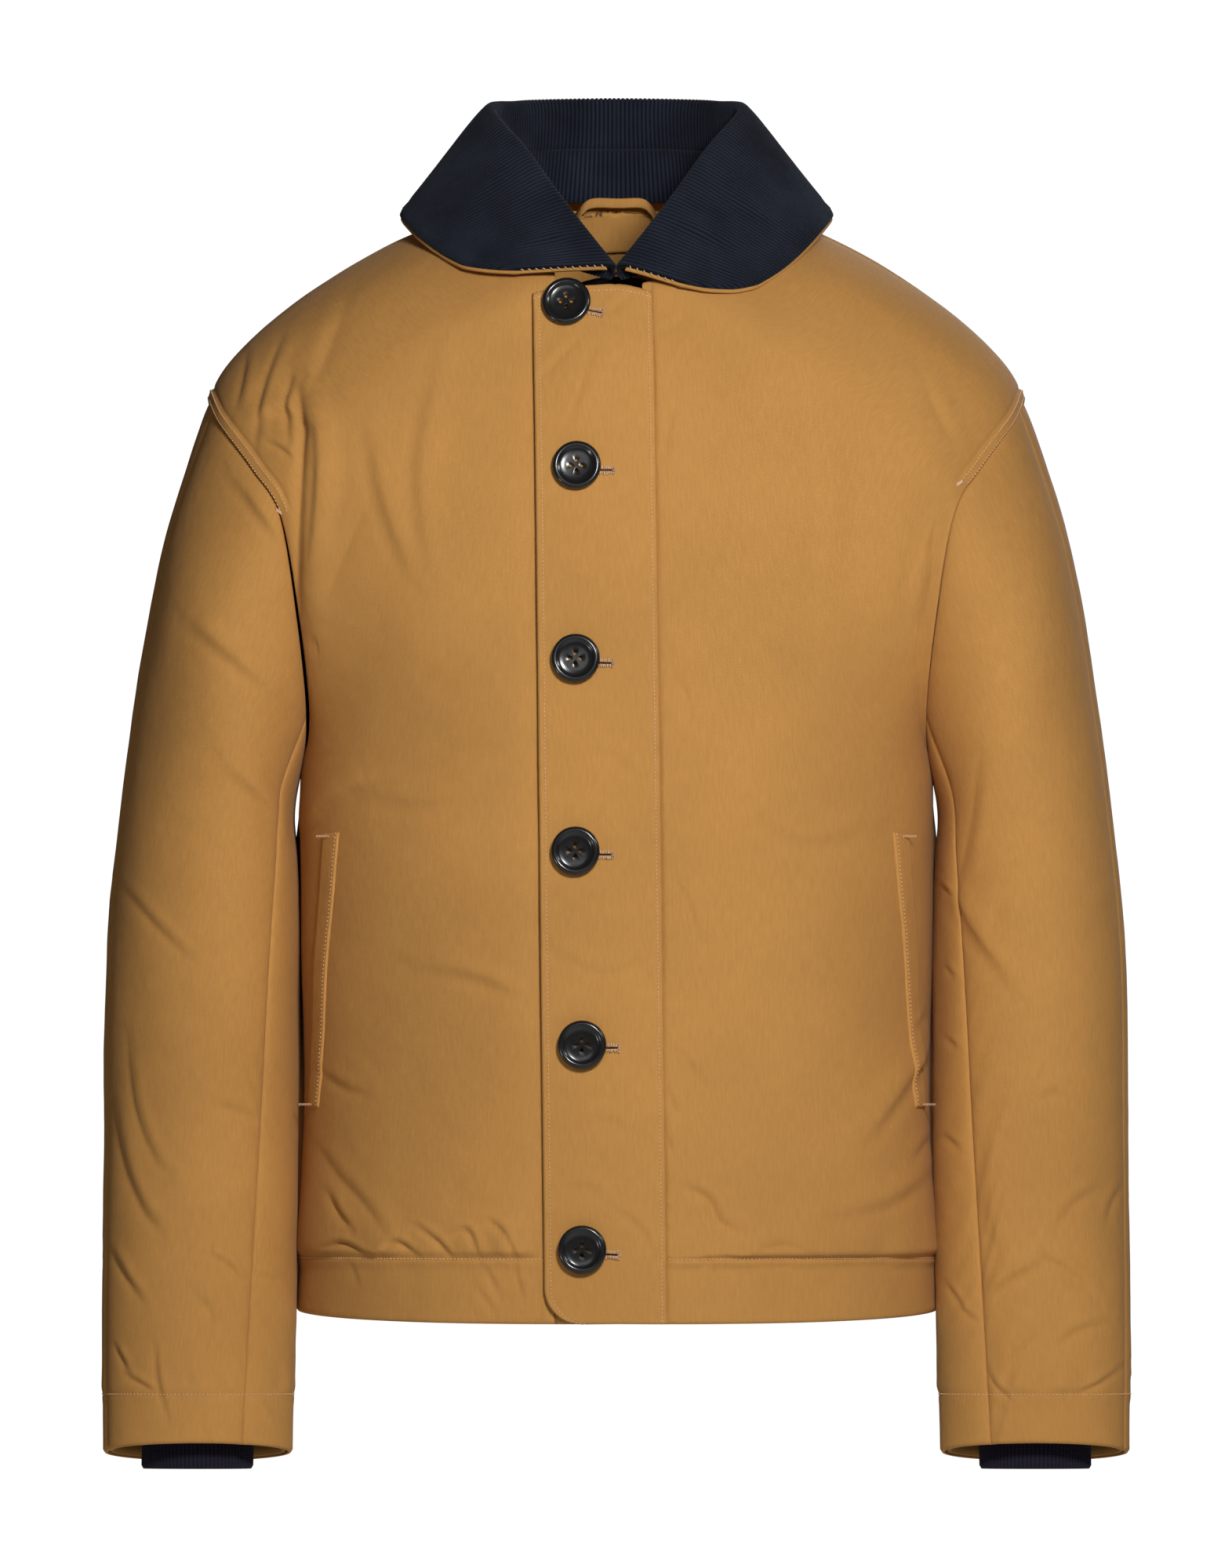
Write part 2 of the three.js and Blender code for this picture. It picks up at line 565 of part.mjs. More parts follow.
const ALL_STATIONS = steps(0, COLLAR_END, 12);
const BACK_STATIONS = [...steps(0, 3, 6), WING_START - 0.015];
const WING_STATIONS = [WING_START, 4, 4.4, 4.8, 5.2, 5.6, COLLAR_END];
const FALL = [1 + ROLL_SHARE + 0.012, 1.3, 1.5, 1.75, 2];
addMesh("collar_stand", fullCollar(ALL_STATIONS, [0.03, STAND_SHARE], 0, COLLAR_CLOTH), corduroy());
addMesh("collar_inner_face",
  fullCollar(ALL_STATIONS, [STAND_SHARE + 0.01, 0.75, 0.92, 1, 1.06, 1 + ROLL_SHARE], 0, COLLAR_CLOTH),
  corduroy());
addMesh("collar_fall_back", fullCollar(BACK_STATIONS, FALL, 0, COLLAR_CLOTH), corduroy());
const under = [-SEAM_GAP - UNDER_COLLAR, UNDER_COLLAR];
addMesh("under_collar_back", fullCollar(BACK_STATIONS, FALL, ...under), facing());
for (const [side, edge] of [["left", LEFT_COLLAR_EDGE], ["right", RIGHT_COLLAR_EDGE]]) {
  const turned = (g) => (side === "left" ? g : reflectedGeometry(g));
  addMesh(side + "_collar_wing", turned(collarLayer(edge, WING_STATIONS, FALL, 0, COLLAR_CLOTH)), corduroy());
  addMesh(side + "_under_collar", turned(collarLayer(edge, WING_STATIONS, FALL, ...under)), facing());
}

// ---------------------------------------------------------------- hanger loop
// A flat strap, seen from above: its two ends are sewn at the neck seam and its middle stands clear
// of the facing, so that a hook can pass behind it and take its level underside.
const LOOP_PATH = [[-25, 66, 5], [-21, 60.5, 12], [-15, 58.5, 16],
  [15, 58.5, 16], [21, 60.5, 12], [25, 66, 5]];
const LOOP_HEIGHT = 6;
const LOOP_THICKNESS = 1.6;
const loopStrap = layer([-0.5, 0.5], LOOP_PATH, (h, p, side) =>
  vec(p).add(new THREE.Vector3(0, side ? LOOP_THICKNESS : 0, h * LOOP_HEIGHT)),
);
addMesh("hanger_loop", loopStrap, facing());

export default jacket;
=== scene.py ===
# %% [markdown]
# # A deck jacket with a corduroy collar
# The jacket hangs as it is worn, with nobody in it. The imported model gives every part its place. This
# script makes the cloth itself: smooth padded panels with their folds, ribs, wales, seams and stitches.

# %% Load the frame
import math

import bpy
import numpy as np
from mathutils import Matrix, Quaternion, Vector


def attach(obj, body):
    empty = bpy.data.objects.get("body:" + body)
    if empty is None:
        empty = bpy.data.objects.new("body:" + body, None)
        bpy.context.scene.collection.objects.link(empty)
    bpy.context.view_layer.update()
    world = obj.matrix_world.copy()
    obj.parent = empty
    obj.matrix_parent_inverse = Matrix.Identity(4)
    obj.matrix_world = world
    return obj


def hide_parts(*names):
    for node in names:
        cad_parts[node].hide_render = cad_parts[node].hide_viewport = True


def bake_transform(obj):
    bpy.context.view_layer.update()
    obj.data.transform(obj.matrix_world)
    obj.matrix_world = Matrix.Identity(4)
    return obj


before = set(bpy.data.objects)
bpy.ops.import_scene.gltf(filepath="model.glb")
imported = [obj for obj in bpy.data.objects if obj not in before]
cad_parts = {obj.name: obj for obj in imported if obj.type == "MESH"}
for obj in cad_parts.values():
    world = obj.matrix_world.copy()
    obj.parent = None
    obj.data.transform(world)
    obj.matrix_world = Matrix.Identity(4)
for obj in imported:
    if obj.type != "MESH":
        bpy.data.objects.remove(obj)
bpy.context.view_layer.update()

MM = 0.001

# %% [markdown]
# ## Camera, floor and light
# A long lens from far away keeps the sleeves and the hem nearly free of perspective. The key lamp stands
# high in front, a little to the right, and a wide weak one on the left opens the shadows. Two more are
# seen only in glossy surfaces, and draw the rims of the buttons. One behind lights the back. The floor
# is as far below the shoulders as for a standing wearer: it throws light up, and the camera does not
# see it. The sky that the camera sees is plain white, and the sky that lights the cloth is dim and warm.

# %% Camera
VIEW_DISTANCE = 30.0
VIEW_HEIGHT = 0.966  # metres of the picture's long side at the jacket
FACE_DISTANCE = 0.06  # how far in front of the origin the view height is measured
AIM = (-0.0002, -0.343)
SENSOR = 36.0
CLIP_END = 90

camera_data = bpy.data.cameras.new("camera")
camera_data.sensor_width = SENSOR
camera_data.lens = SENSOR * (VIEW_DISTANCE - FACE_DISTANCE) / VIEW_HEIGHT
camera_data.clip_end = CLIP_END
camera = bpy.data.objects.new("camera", camera_data)
camera.location = (AIM[0], -VIEW_DISTANCE, AIM[1])
camera.rotation_euler = (math.pi / 2, 0, 0)
bpy.context.collection.objects.link(camera)
bpy.context.scene.camera = camera
print("lens:", round(camera_data.lens), "mm")

# %% Floor
FLOOR_DEPTH = 1.45
FLOOR_SIDE = 5.0
FLOOR_GREY = (0.8, 0.8, 0.8, 1)


def deselect():
    bpy.ops.object.select_all(action="DESELECT")


deselect()
bpy.ops.mesh.primitive_plane_add(size=FLOOR_SIDE, location=(0, 0, -FLOOR_DEPTH))
floor = bpy.context.object
floor.name = "studio_floor"
floor_paint = bpy.data.materials.new("pale_floor")
floor_paint.use_nodes = True
floor_shader = floor_paint.node_tree.nodes["Principled BSDF"]
floor_shader.inputs["Base Color"].default_value = FLOOR_GREY
floor_shader.inputs["Roughness"].default_value = 0.7
floor.data.materials.append(floor_paint)
floor.visible_camera = False
print("floor:", FLOOR_SIDE, "m wide,", FLOOR_DEPTH, "m down")

# %% Lamps
MIDDLE = (0, 0, -0.35)


def lamp(name, place, aim, side, power):
    data = bpy.data.lights.new(name, "AREA")
    data.shape = "DISK"
    data.size = side
    data.energy = power
    made = bpy.data.objects.new(name, data)
    made.location = place
    made.rotation_euler = (Vector(aim) - Vector(place)).to_track_quat("-Z", "Y").to_euler()
    bpy.context.collection.objects.link(made)
    return made


lamp("key", (0.42, -2.1, 0.42), MIDDLE, 0.45, 42.5)
lamp("front", (-0.9, -3.6, 0.4), MIDDLE, 1.2, 6.5)
for place in ((-2.2, -1.5, -1.4), (2.3, -1.3, 0.9)):
    lamp("rim_of_buttons", place, MIDDLE, 0.5, 14).visible_diffuse = False
lamp("back_light", (1.0, 3.2, 1.2), (0, 0, -0.3), 2.0, 60)

# %% Sky
LIT_SKY = ((1, 0.86, 0.66, 1), 0.068)  # colour and strength of what lights the cloth
SEEN_SKY = ((1, 1, 1, 1), 1.05)  # and of what the camera sees

world = bpy.data.worlds.new("studio")
world.use_nodes = True
bpy.context.scene.world = world
sky = world.node_tree.nodes
lit = sky["Background"]
seen = sky.new("ShaderNodeBackground")
for background, (colour, strength) in ((lit, LIT_SKY), (seen, SEEN_SKY)):
    background.inputs["Color"].default_value = colour
    background.inputs["Strength"].default_value = strength
rays = sky.new("ShaderNodeLightPath")
either = sky.new("ShaderNodeMixShader")
wire = world.node_tree.links.new
wire(rays.outputs["Is Camera Ray"], either.inputs["Fac"])
wire(lit.outputs["Background"], either.inputs[1])
wire(seen.outputs["Background"], either.inputs[2])
wire(either.outputs["Shader"], sky["World Output"].inputs["Surface"])
bpy.context.scene.view_settings.view_transform = "Standard"

# %% [markdown]
# ## The shape of the jacket
# A panel of the body is a set of curves from the neckline or centre line to the armhole or side seam,
# with a smooth curve run through their control points down the body. The sleeve joins the armhole to
# rings down the arm. The collar runs from its seam over the roll line to its outer edge. These are
# the same key points that the solid parts were built on, in millimetres, so the cloth lands on them.

# %% Key points of the body, sleeve and collar
NECK_ROW, UNDERARM_ROW, HEM_ROW = 3, 6, 9
SHOULDER = [[84, 8, 4], [112, 6, 14], [243, 2, -65], [251, 0, -106]]
FRONT = {
    "outward": -1,
    "rows": np.array([
        SHOULDER,
        [[72, -50, -8], [108, -56, -6], [226, -56, -76], [244, -50, -122]],
        [[46, -88, -24], [95, -97, -34], [190, -96, -112], [224, -84, -150]],
        [[0, -108, -36], [55, -108, -38], [165, -116, -140], [207, -96, -178]],
        [[0, -126, -100], [70, -126, -100], [150, -128, -210], [196, -84, -240]],
        [[0, -142, -200], [90, -142, -200], [165, -120, -272], [190, -50, -300]],
        [[0, -150, -310], [105, -150, -312], [194, -92, -330], [194, 0, -330]],
        [[0, -151, -430], [107, -151, -430], [194, -84, -430], [194, 0, -430]],
        [[0, -149, -545], [106, -149, -545], [192, -83, -545], [192, 0, -545]],
        [[0, -148, -675], [110, -148, -676], [198, -84, -673], [198, 0, -667]],
    ], float),
}
BACK = {
    "outward": 1,
    "rows": np.array([
        SHOULDER,
        [[66, 48, 9], [106, 54, 10], [228, 52, -71], [248, 46, -124]],
        [[38, 67, 12], [95, 78, 4], [204, 92, -95], [240, 80, -158]],
        [[0, 75, 12], [60, 78, 9], [190, 120, -132], [232, 94, -204]],
        [[0, 104, -60], [75, 104, -60], [180, 128, -190], [220, 86, -256]],
        [[0, 124, -160], [90, 124, -160], [175, 116, -266], [203, 52, -305]],
        [[0, 131, -300], [105, 131, -302], [194, 80, -330], [194, 0, -330]],
        [[0, 132, -430], [107, 132, -430], [194, 73, -430], [194, 0, -430]],
        [[0, 131, -545], [106, 131, -545], [192, 72, -545], [192, 0, -545]],
        [[0, 130, -673], [110, 130, -673], [198, 72, -669], [198, 0, -667]],
    ], float),
}
FRONT["other"], BACK["other"] = BACK, FRONT
SLEEVE_RINGS = np.array([
    [[239, 0, -280], [39.5, 0, 82], [0, -98, 0]],
    [[248, -1, -358], [51, 0, 42], [0, -88, 0]],
    [[254.5, -4, -452], [58, 0, 15], [0, -74, 0]],
    [[256, -12, -556], [59, 0, 0], [0, -61, 3]],
    [[257.5, -26, -658], [58.5, 0, 0], [0, -48, 5]],
    [[258, -42, -755], [57.5, 0, 0], [0, -38, 6]],
], float)
CUFF_RING = len(SLEEVE_RINGS)
COLLAR_SEAM = [[0, 72, 14], [37, 64.5, 14], [63, 46, 11], [80.5, 8, 6], [69, -48, -6],
               [44, -85, -22], [3, -105, -33]]
COLLAR_ROLL = [[0, 86, 79], [34, 80, 78.5], [62, 58, 77], [78, 14, 73], [58, -36, 48],
               [32, -78, 12], [3, -117, -26]]
COLLAR_EDGE = {
    "right": [[0, 108, 3], [50, 102, 2], [98, 78, 3], [132, 24, 8], [127, -30, -3],
              [108, -66, -18], [86, -96, -29]],
    "left": [[0, 108, 3], [50, 102, 2], [98, 78, 3], [132, 24, 8], [128, -28, -3],
             [105, -74, -26], [72, -110, -46]],
}
COLLAR_END = 6
SIGN = {"left": 1, "right": -1}  # the wearer's left is +X


# %% Curves and surfaces
NUDGE = 0.002  # normals are measured this far inside the ends of a surface


def catmull(a, b, c, d, t):
    """Between b and c at a share t, with the directions that a and d give."""
    return 0.5 * (2 * b + (c - a) * t + (2 * a - 5 * b + 4 * c - d) * t**2 + (3 * b - a - 3 * c + d) * t**3)


def through(keys, s, before=None, after=None):
    """A smooth curve through keys at the places s; before and after steer its ends."""
    keys = np.asarray(keys, float)
    first = 2 * keys[0] - keys[1] if before is None else before
    last = 2 * keys[-1] - keys[-2] if after is None else after
    knots = np.concatenate([[first], keys, [last]])
    i = np.clip(np.floor(s).astype(int), 0, len(keys) - 2)
    t = (s - i)[..., None]
    a, b, c, d = (knots[i + n] for n in range(4))
    return catmull(a, b, c, d, t)


def cubic(b, u):
    """A cubic between two ends, drawn towards the two points between them."""
    u = u[..., None]
    w = 1 - u
    return b[0] * w**3 + b[1] * 3 * w**2 * u + b[2] * 3 * w * u**2 + b[3] * u**3


def flip(points):
    return points * np.array([-1.0, 1, 1])


def column(panel, c, s):
    """One control curve down a panel; its ends run on into the other panel or across the middle."""
    keys, other = panel["rows"][:, c], panel["other"]["rows"][:, c]
    corner = (NECK_ROW, HEM_ROW, HEM_ROW, UNDERARM_ROW)[c]
    past = {0: flip(keys[NECK_ROW - 1]), 3: other[UNDERARM_ROW - 1]}.get(c)
    upper = through(keys[: corner + 1], np.minimum(s, corner), other[1], past)
    if corner == HEM_ROW:
        return upper
    lower = through(keys[corner:], np.maximum(s, corner) - corner)
    return np.where((s > corner)[..., None], lower, upper)


def body_point(panel, u, s):
    return cubic([column(panel, c, s) for c in range(4)], u)


def raised(surface, a, b, offset, outward=1):
    """Points of a surface moved along its outward normal, in millimetres."""
    h = 1e-3
    across = surface(a + h, b) - surface(a - h, b)
    down = surface(a, b + h) - surface(a, b - h)
    normal = np.cross(across, down)
    normal /= np.linalg.norm(normal, axis=-1, keepdims=True)
    return surface(a, b) + normal * outward * offset


def body_offset(panel, u, s, offset):
    s = np.clip(s, NUDGE, HEM_ROW - NUDGE)
    points = raised(lambda a, b: body_point(panel, np.clip(a, 0, 1), b), u, s, offset, panel["outward"])
    points[..., 0] = np.where((u <= 0) & (s >= NECK_ROW), 0, points[..., 0])
    return points


def share_at(panel, x, s):
    """Where each row of a panel reaches a distance x from the centre plane."""
    low, high = np.zeros_like(s), np.ones_like(s)
    for _ in range(24):
        middle = (low + high) / 2
        near = body_point(panel, middle, s)[..., 0] < x
        low, high = np.where(near, middle, low), np.where(near, high, middle)
    return low


def front_at(x, s, offset):
    points = body_offset(FRONT, share_at(FRONT, np.abs(x), s), s, offset)
    points[..., 0] = np.where(x < 0, -1, 1) * np.abs(points[..., 0])
    return points


def armhole(t):
    """The armhole from the shoulder down the front and up the back."""
    t = t % 1.0
    front = column(FRONT, 3, np.minimum(2 * UNDERARM_ROW * t, UNDERARM_ROW))
    back = column(BACK, 3, np.minimum(2 * UNDERARM_ROW * (1 - t), UNDERARM_ROW))
    return np.where((t <= 0.5)[..., None], front, back)


def sleeve_point(t, r):
    turn = (2 * np.pi * t)[..., None]
    rings = [k[0] + k[1] * np.cos(turn) + k[2] * np.sin(turn) for k in SLEEVE_RINGS]
    keys = np.stack([armhole(t), *rings])
    knots = np.concatenate([[2 * keys[0] - keys[1]], keys, [2 * keys[-1] - keys[-2]]])
    i = np.clip(np.floor(r).astype(int), 0, CUFF_RING - 1)
    f = (r - i)[..., None]
    pick = lambda n: np.take_along_axis(knots, (i + n)[None, ..., None], 0)[0]
    a, b, c, d = (pick(n) for n in range(4))
    return catmull(a, b, c, d, f)


def sleeve_offset(t, r, offset):
    return raised(sleeve_point, t, np.clip(r, NUDGE, CUFF_RING - NUDGE), offset)


def collar_point(edge, k, w):
    """The collar at a station k from its back: w runs from the seam, 0, over the roll, 1, to the rim, 2."""
    seam, roll, rim = (through(keys, k, flip(np.array(keys[1], float)))
                       for keys in (COLLAR_SEAM, COLLAR_ROLL, edge))
    outward = (rim - roll) * [1, 1, 0]
    outward /= np.linalg.norm(outward, axis=-1, keepdims=True)
    low = seam + (roll - seam) * 0.35 - outward * 1.5
    high = roll - outward * 5 - [0, 0, 1]
    over = roll + outward * 3 + [0, 0, 1]
    fall = rim + (roll - rim) * 0.4 + outward
    stand = cubic([seam, low, high, roll], np.clip(w, 0, 1))
    leaf = cubic([roll, over, fall, rim], np.clip(w - 1, 0, 1))
    return np.where((w <= 1)[..., None], stand, leaf)


def collar_offset(edge, k, w, offset):
    inside = np.clip(k, NUDGE, COLLAR_END - NUDGE)
    points = raised(lambda a, b: collar_point(edge, a, b), inside, np.clip(w, NUDGE, 2 - NUDGE), offset)
    points[..., 0] = np.where(k <= 0, 0, points[..., 0])
    return points


# %% [markdown]
# ## From a grid of points to a piece of cloth
# Every cloth piece starts as a grid of points on its outer face. Giving it an inner face one thickness
# in and closing the edges makes a closed sheet, as a Solidify modifier would, but with edges that stay
# in line with the seam. The map is laid out in metres, so that a weave keeps its real size.

# %% Grid helpers
def normals_of(grid, tube=False):
    if tube:
        grid = np.concatenate([grid[:, -1:], grid, grid[:, :1]], axis=1)
    normal = np.cross(np.gradient(grid, axis=1), np.gradient(grid, axis=0))
    normal /= np.maximum(np.linalg.norm(normal, axis=-1, keepdims=True), 1e-9)
    return normal[:, 1:-1] if tube else normal


def lengths(grid, axis):
    """Distance run along each line of a grid, from its start."""
    run = np.cumsum(np.linalg.norm(np.diff(grid, axis=axis), axis=-1), axis=axis)
    return np.pad(run, [(1, 0), (0, 0)] if axis == 0 else [(0, 0), (1, 0)])


def to_edges(grid):
    """Distance of each point of a grid from its top, foot, start and end edge."""
    down, across = lengths(grid, 0), lengths(grid, 1)
    return down, down[-1:] - down, across, across[:, -1:] - across


def area_of(grid):
    one, other = grid[1:, 1:] - grid[:-1, :-1], grid[1:, :-1] - grid[:-1, 1:]
    return 0.5 * np.linalg.norm(np.cross(one, other), axis=-1).sum()


class Cloth:
    """A smooth grid and its outward normals, raised by heights in millimetres."""

    def __init__(self, grid, outward, heights=0.0, tube=False):
        self.flat, self.tube = grid, tube
        self.out = normals_of(grid, tube) * outward
        self.grid = grid + self.out * np.broadcast_to(heights, grid.shape[:2])[..., None]


def cloth_piece(name, cloths, thickness, finish, joined_rows=None, wales=None, worn=None):
    """Closed cloth from one grid, or from two halves whose first columns meet on joined_rows."""
    verts, faces, maps, extra = [], [], [], {"wale": [], "worn": []}
    for number, cloth in enumerate(cloths):
        grid, rows, cols = cloth.grid, *cloth.grid.shape[:2]
        both = np.stack([grid, grid - cloth.out * thickness])
        if joined_rows is not None:
            both[:, joined_rows, 0, 0] = 0
        start = sum(len(v) for v in verts)
        verts.append(both.reshape(-1, 3) * MM)
        across, down = lengths(cloth.flat, 1)[rows // 2] * MM, lengths(cloth.flat, 0)[:, cols // 2] * MM
        maps.append(np.tile(np.stack(np.meshgrid(across, down), -1).reshape(-1, 2), (2, 1)))
        for key, given in (("wale", wales), ("worn", worn)):
            if given is not None:
                extra[key].append(np.tile(np.broadcast_to(given[number], (rows, cols)).ravel(), 2))
        quads = grid_quads(rows, cols, start, cloth.tube, joined_rows)
        inside_out = (normals_of(grid, cloth.tube) * cloth.out).sum() < 0
        faces.append(quads[:, ::-1] if inside_out else quads)
    piece = cloth_mesh(name, *(np.concatenate(part) for part in (verts, faces, maps)), extra)
    piece.data.materials.append(finish)
    if joined_rows is not None:
        select_only(piece)
        bpy.ops.object.mode_set(mode="EDIT")
        bpy.ops.mesh.select_all(action="SELECT")
        bpy.ops.mesh.remove_doubles(threshold=1e-5)
        bpy.ops.object.mode_set(mode="OBJECT")
    return piece


def grid_quads(rows, cols, start, tube, joined_rows):
    cells = cols if tube else cols - 1
    at = lambda side, j, i: start + side * rows * cols + j * cols + i % cols
    quad = lambda *corners: np.stack(np.broadcast_arrays(*corners), 1)
    j, i = (a.ravel() for a in np.meshgrid(np.arange(rows - 1), np.arange(cells), indexing="ij"))
    quads = [quad(at(0, j, i), at(0, j + 1, i), at(0, j + 1, i + 1), at(0, j, i + 1)),
             quad(at(1, j, i), at(1, j, i + 1), at(1, j + 1, i + 1), at(1, j + 1, i))]
    i, e = np.arange(cells), rows - 1
    quads.append(quad(at(0, 0, i), at(0, 0, i + 1), at(1, 0, i + 1), at(1, 0, i)))
    quads.append(quad(at(0, e, i), at(1, e, i), at(1, e, i + 1), at(0, e, i + 1)))
    if not tube:
        j, e = np.arange(rows - 1), cols - 1
        quads.append(quad(at(0, j, e), at(0, j + 1, e), at(1, j + 1, e), at(1, j, e)))
        if joined_rows is not None:
            j = j[~(joined_rows[:-1] & joined_rows[1:])]
        quads.append(quad(at(0, j, 0), at(1, j, 0), at(1, j + 1, 0), at(0, j + 1, 0)))
    return np.concatenate(quads)[:, ::-1]


def cloth_mesh(name, verts, faces, maps, extra):
    mesh = bpy.data.meshes.new(name)
    mesh.vertices.add(len(verts))
    mesh.vertices.foreach_set("co", verts.astype(np.float32).ravel())
    mesh.loops.add(faces.size)
    mesh.loops.foreach_set("vertex_index", faces.astype(np.int32).ravel())
    mesh.polygons.add(len(faces))
    mesh.polygons.foreach_set("loop_start", np.arange(0, faces.size, 4, dtype=np.int32))
    mesh.update(calc_edges=True)
    mesh.polygons.foreach_set("use_smooth", np.ones(len(faces), bool))
    layer = mesh.uv_layers.new(name="cloth_map")
    layer.data.foreach_set("uv", maps[faces.ravel()].astype(np.float32).ravel())
    for key, values in extra.items():
        if values:
            attribute = mesh.attributes.new(key, "FLOAT", "POINT")
            attribute.data.foreach_set("value", np.concatenate(values).astype(np.float32))
    piece = bpy.data.objects.new(name, mesh)
    bpy.context.collection.objects.link(piece)
    return piece


def select_only(piece):
    deselect()
    piece.select_set(True)
    bpy.context.view_layer.objects.active = piece


PIECES = []


def settle(piece, cloths, nodes, body=None, bend=None):
    """List a cloth piece with its flat size, attach it to what it moves with, or only bake the transform of a
    piece that crosses a joint, and hide the solids it stands for.
    """
    width = sum(lengths(c.flat, 1)[:, -1].max() for c in cloths) * MM
    length = max(lengths(c.flat, 0)[-1].max() for c in cloths) * MM
    area = sum(area_of(c.flat) for c in cloths) * MM**2
    if cloths[0].tube:
        width += np.linalg.norm(cloths[0].flat[:, 0] - cloths[0].flat[:, -1], axis=-1).max() * MM
        area *= cloths[0].flat.shape[1] / (cloths[0].flat.shape[1] - 1)
    area = float(min(max(area, 0.31 * width * length), width * length))
    if bend:
        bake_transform(piece)
    else:
        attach(piece, body or "jacket_body")
    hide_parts(*nodes)
    PIECES.append((piece.name, round(float(width), 3), round(float(length), 3), len(piece.data.polygons)))
    print("piece, flat width, flat length, faces:", *PIECES[-1])


# %% [markdown]
# ## Finishes
# Each finish is a small node set. The weave runs on the cloth's own map, in metres, so one twill line
# is as wide as on real gabardine. Larger, softer noise varies the dye and the wear. The gloss values
# stay on the shader itself.

# %% Material helpers
def finish_base(name, colour, roughness, sheen=0.0, specular=0.3):
    material = bpy.data.materials.new(name)
    material.use_nodes = True
    tree = material.node_tree
    shader = tree.nodes["Principled BSDF"]
    shader.inputs["Base Color"].default_value = (*colour, 1)
    shader.inputs["Roughness"].default_value = roughness
    shader.inputs["Sheen Weight"].default_value = sheen
    shader.inputs["Sheen Roughness"].default_value = 0.5
    shader.inputs["Specular IOR Level"].default_value = specular
    return material, tree, shader


def noise(tree, where, scale, detail=3.0, stretch=(1, 1, 1)):
    coords = tree.nodes.new("ShaderNodeTexCoord")
    place = tree.nodes.new("ShaderNodeMapping")
    place.inputs["Scale"].default_value = stretch
    texture = tree.nodes.new("ShaderNodeTexNoise")
    texture.inputs["Scale"].default_value = scale
    texture.inputs["Detail"].default_value = detail
    tree.links.new(coords.outputs[where], place.inputs["Vector"])
    tree.links.new(place.outputs["Vector"], texture.inputs["Vector"])
    return texture.outputs["Fac"]


def waves(tree, direction, pitch, distortion=0.0):
    """Fine bands on the cloth map, one every pitch metres."""
    coords = tree.nodes.new("ShaderNodeTexCoord")
    texture = tree.nodes.new("ShaderNodeTexWave")
    texture.bands_direction = direction
    texture.inputs["Scale"].default_value = (0.444 if direction == "DIAGONAL" else 0.314) / pitch
    texture.inputs["Distortion"].default_value = distortion
    tree.links.new(coords.outputs["UV"], texture.inputs["Vector"])
    return texture.outputs["Fac"]


def blend_colours(tree, factor, first, second):
    ramp = tree.nodes.new("ShaderNodeValToRGB")
    ramp.color_ramp.elements[0].color = (*first, 1)
    ramp.color_ramp.elements[1].color = (*second, 1)
    tree.links.new(factor, ramp.inputs["Fac"])
    return ramp


def multiply(tree, a, b, amount=1.0):
    mix = tree.nodes.new("ShaderNodeMixRGB")
    mix.blend_type = "MULTIPLY"
    mix.inputs["Fac"].default_value = amount
    tree.links.new(a, mix.inputs["Color1"])
    tree.links.new(b, mix.inputs["Color2"])
    return mix.outputs["Color"]


def add_bump(tree, shader, heights):
    """Stack bumps: pairs of a height output and its depth in metres."""
    previous = None
    for height, depth in heights:
        bump = tree.nodes.new("ShaderNodeBump")
        bump.inputs["Distance"].default_value = depth
        bump.inputs["Strength"].default_value = 0.6
        tree.links.new(height, bump.inputs["Height"])
        if previous is not None:
            tree.links.new(previous, bump.inputs["Normal"])
        previous = bump.outputs["Normal"]
    tree.links.new(previous, shader.inputs["Normal"])


def tint(colour, k):
    return tuple(c * k for c in colour)


# %% [markdown]
# The shell is a close cotton gabardine: matt, with a fine twill line, slightly thicker threads here and
# there and edges that have worn paler. The turned-up cloth is the same tan with painted shade: its colour
# is darkened. The lining is painted nearly black, as painted shade for the deep inside of the jacket.

# %% Gabardine
TAN = (0.488, 0.243, 0.067)
# Painted shade: the turned-up cloth is the shell's tan, darkened.
TAN_SHADE_PAINTED = (0.36, 0.18, 0.048)
# Painted shade: the lining is painted nearly black, standing in for the shade inside.
BLACK_SHADE_PAINTED = (0.012, 0.011, 0.013)
TWILL_PITCH = 0.00062


def gabardine(name, colour):
    material, tree, shader = finish_base(name, colour, 0.82, sheen=0.04, specular=0.12)
    dye = blend_colours(tree, noise(tree, "Object", 9.0, 4.0), tint(colour, 0.92), tint(colour, 1.06))
    dye.color_ramp.elements[0].position, dye.color_ramp.elements[1].position = 0.3, 0.7
    thick = noise(tree, "UV", 620.0, 3.0, (1, 0.16, 1))
    slub = blend_colours(tree, thick, (0.86, 0.85, 0.83), (1.12, 1.12, 1.12))
    grain = blend_colours(tree, noise(tree, "UV", 1500.0, 2.0), (0.84, 0.83, 0.8), (1.13, 1.13, 1.13))
    worn = tree.nodes.new("ShaderNodeAttribute")
    worn.attribute_name = "worn"
    faded = blend_colours(tree, worn.outputs["Fac"], (1, 1, 1), (1.1, 1.1, 1.12))
    woven = multiply(tree, slub.outputs["Color"], grain.outputs["Color"])
    woven = multiply(tree, woven, faded.outputs["Color"])
    tree.links.new(multiply(tree, dye.outputs["Color"], woven), shader.inputs["Base Color"])
    twill = waves(tree, "DIAGONAL", TWILL_PITCH, 0.4)
    fibre = noise(tree, "UV", 900.0, 3.0)
    crumple = noise(tree, "Object", 70.0, 6.0)
    dimples = noise(tree, "Object", 22.0, 4.0)
    add_bump(tree, shader, [(twill, 0.00007), (fibre, 0.00012), (crumple, 0.0009), (dimples, 0.0016)])
    return material


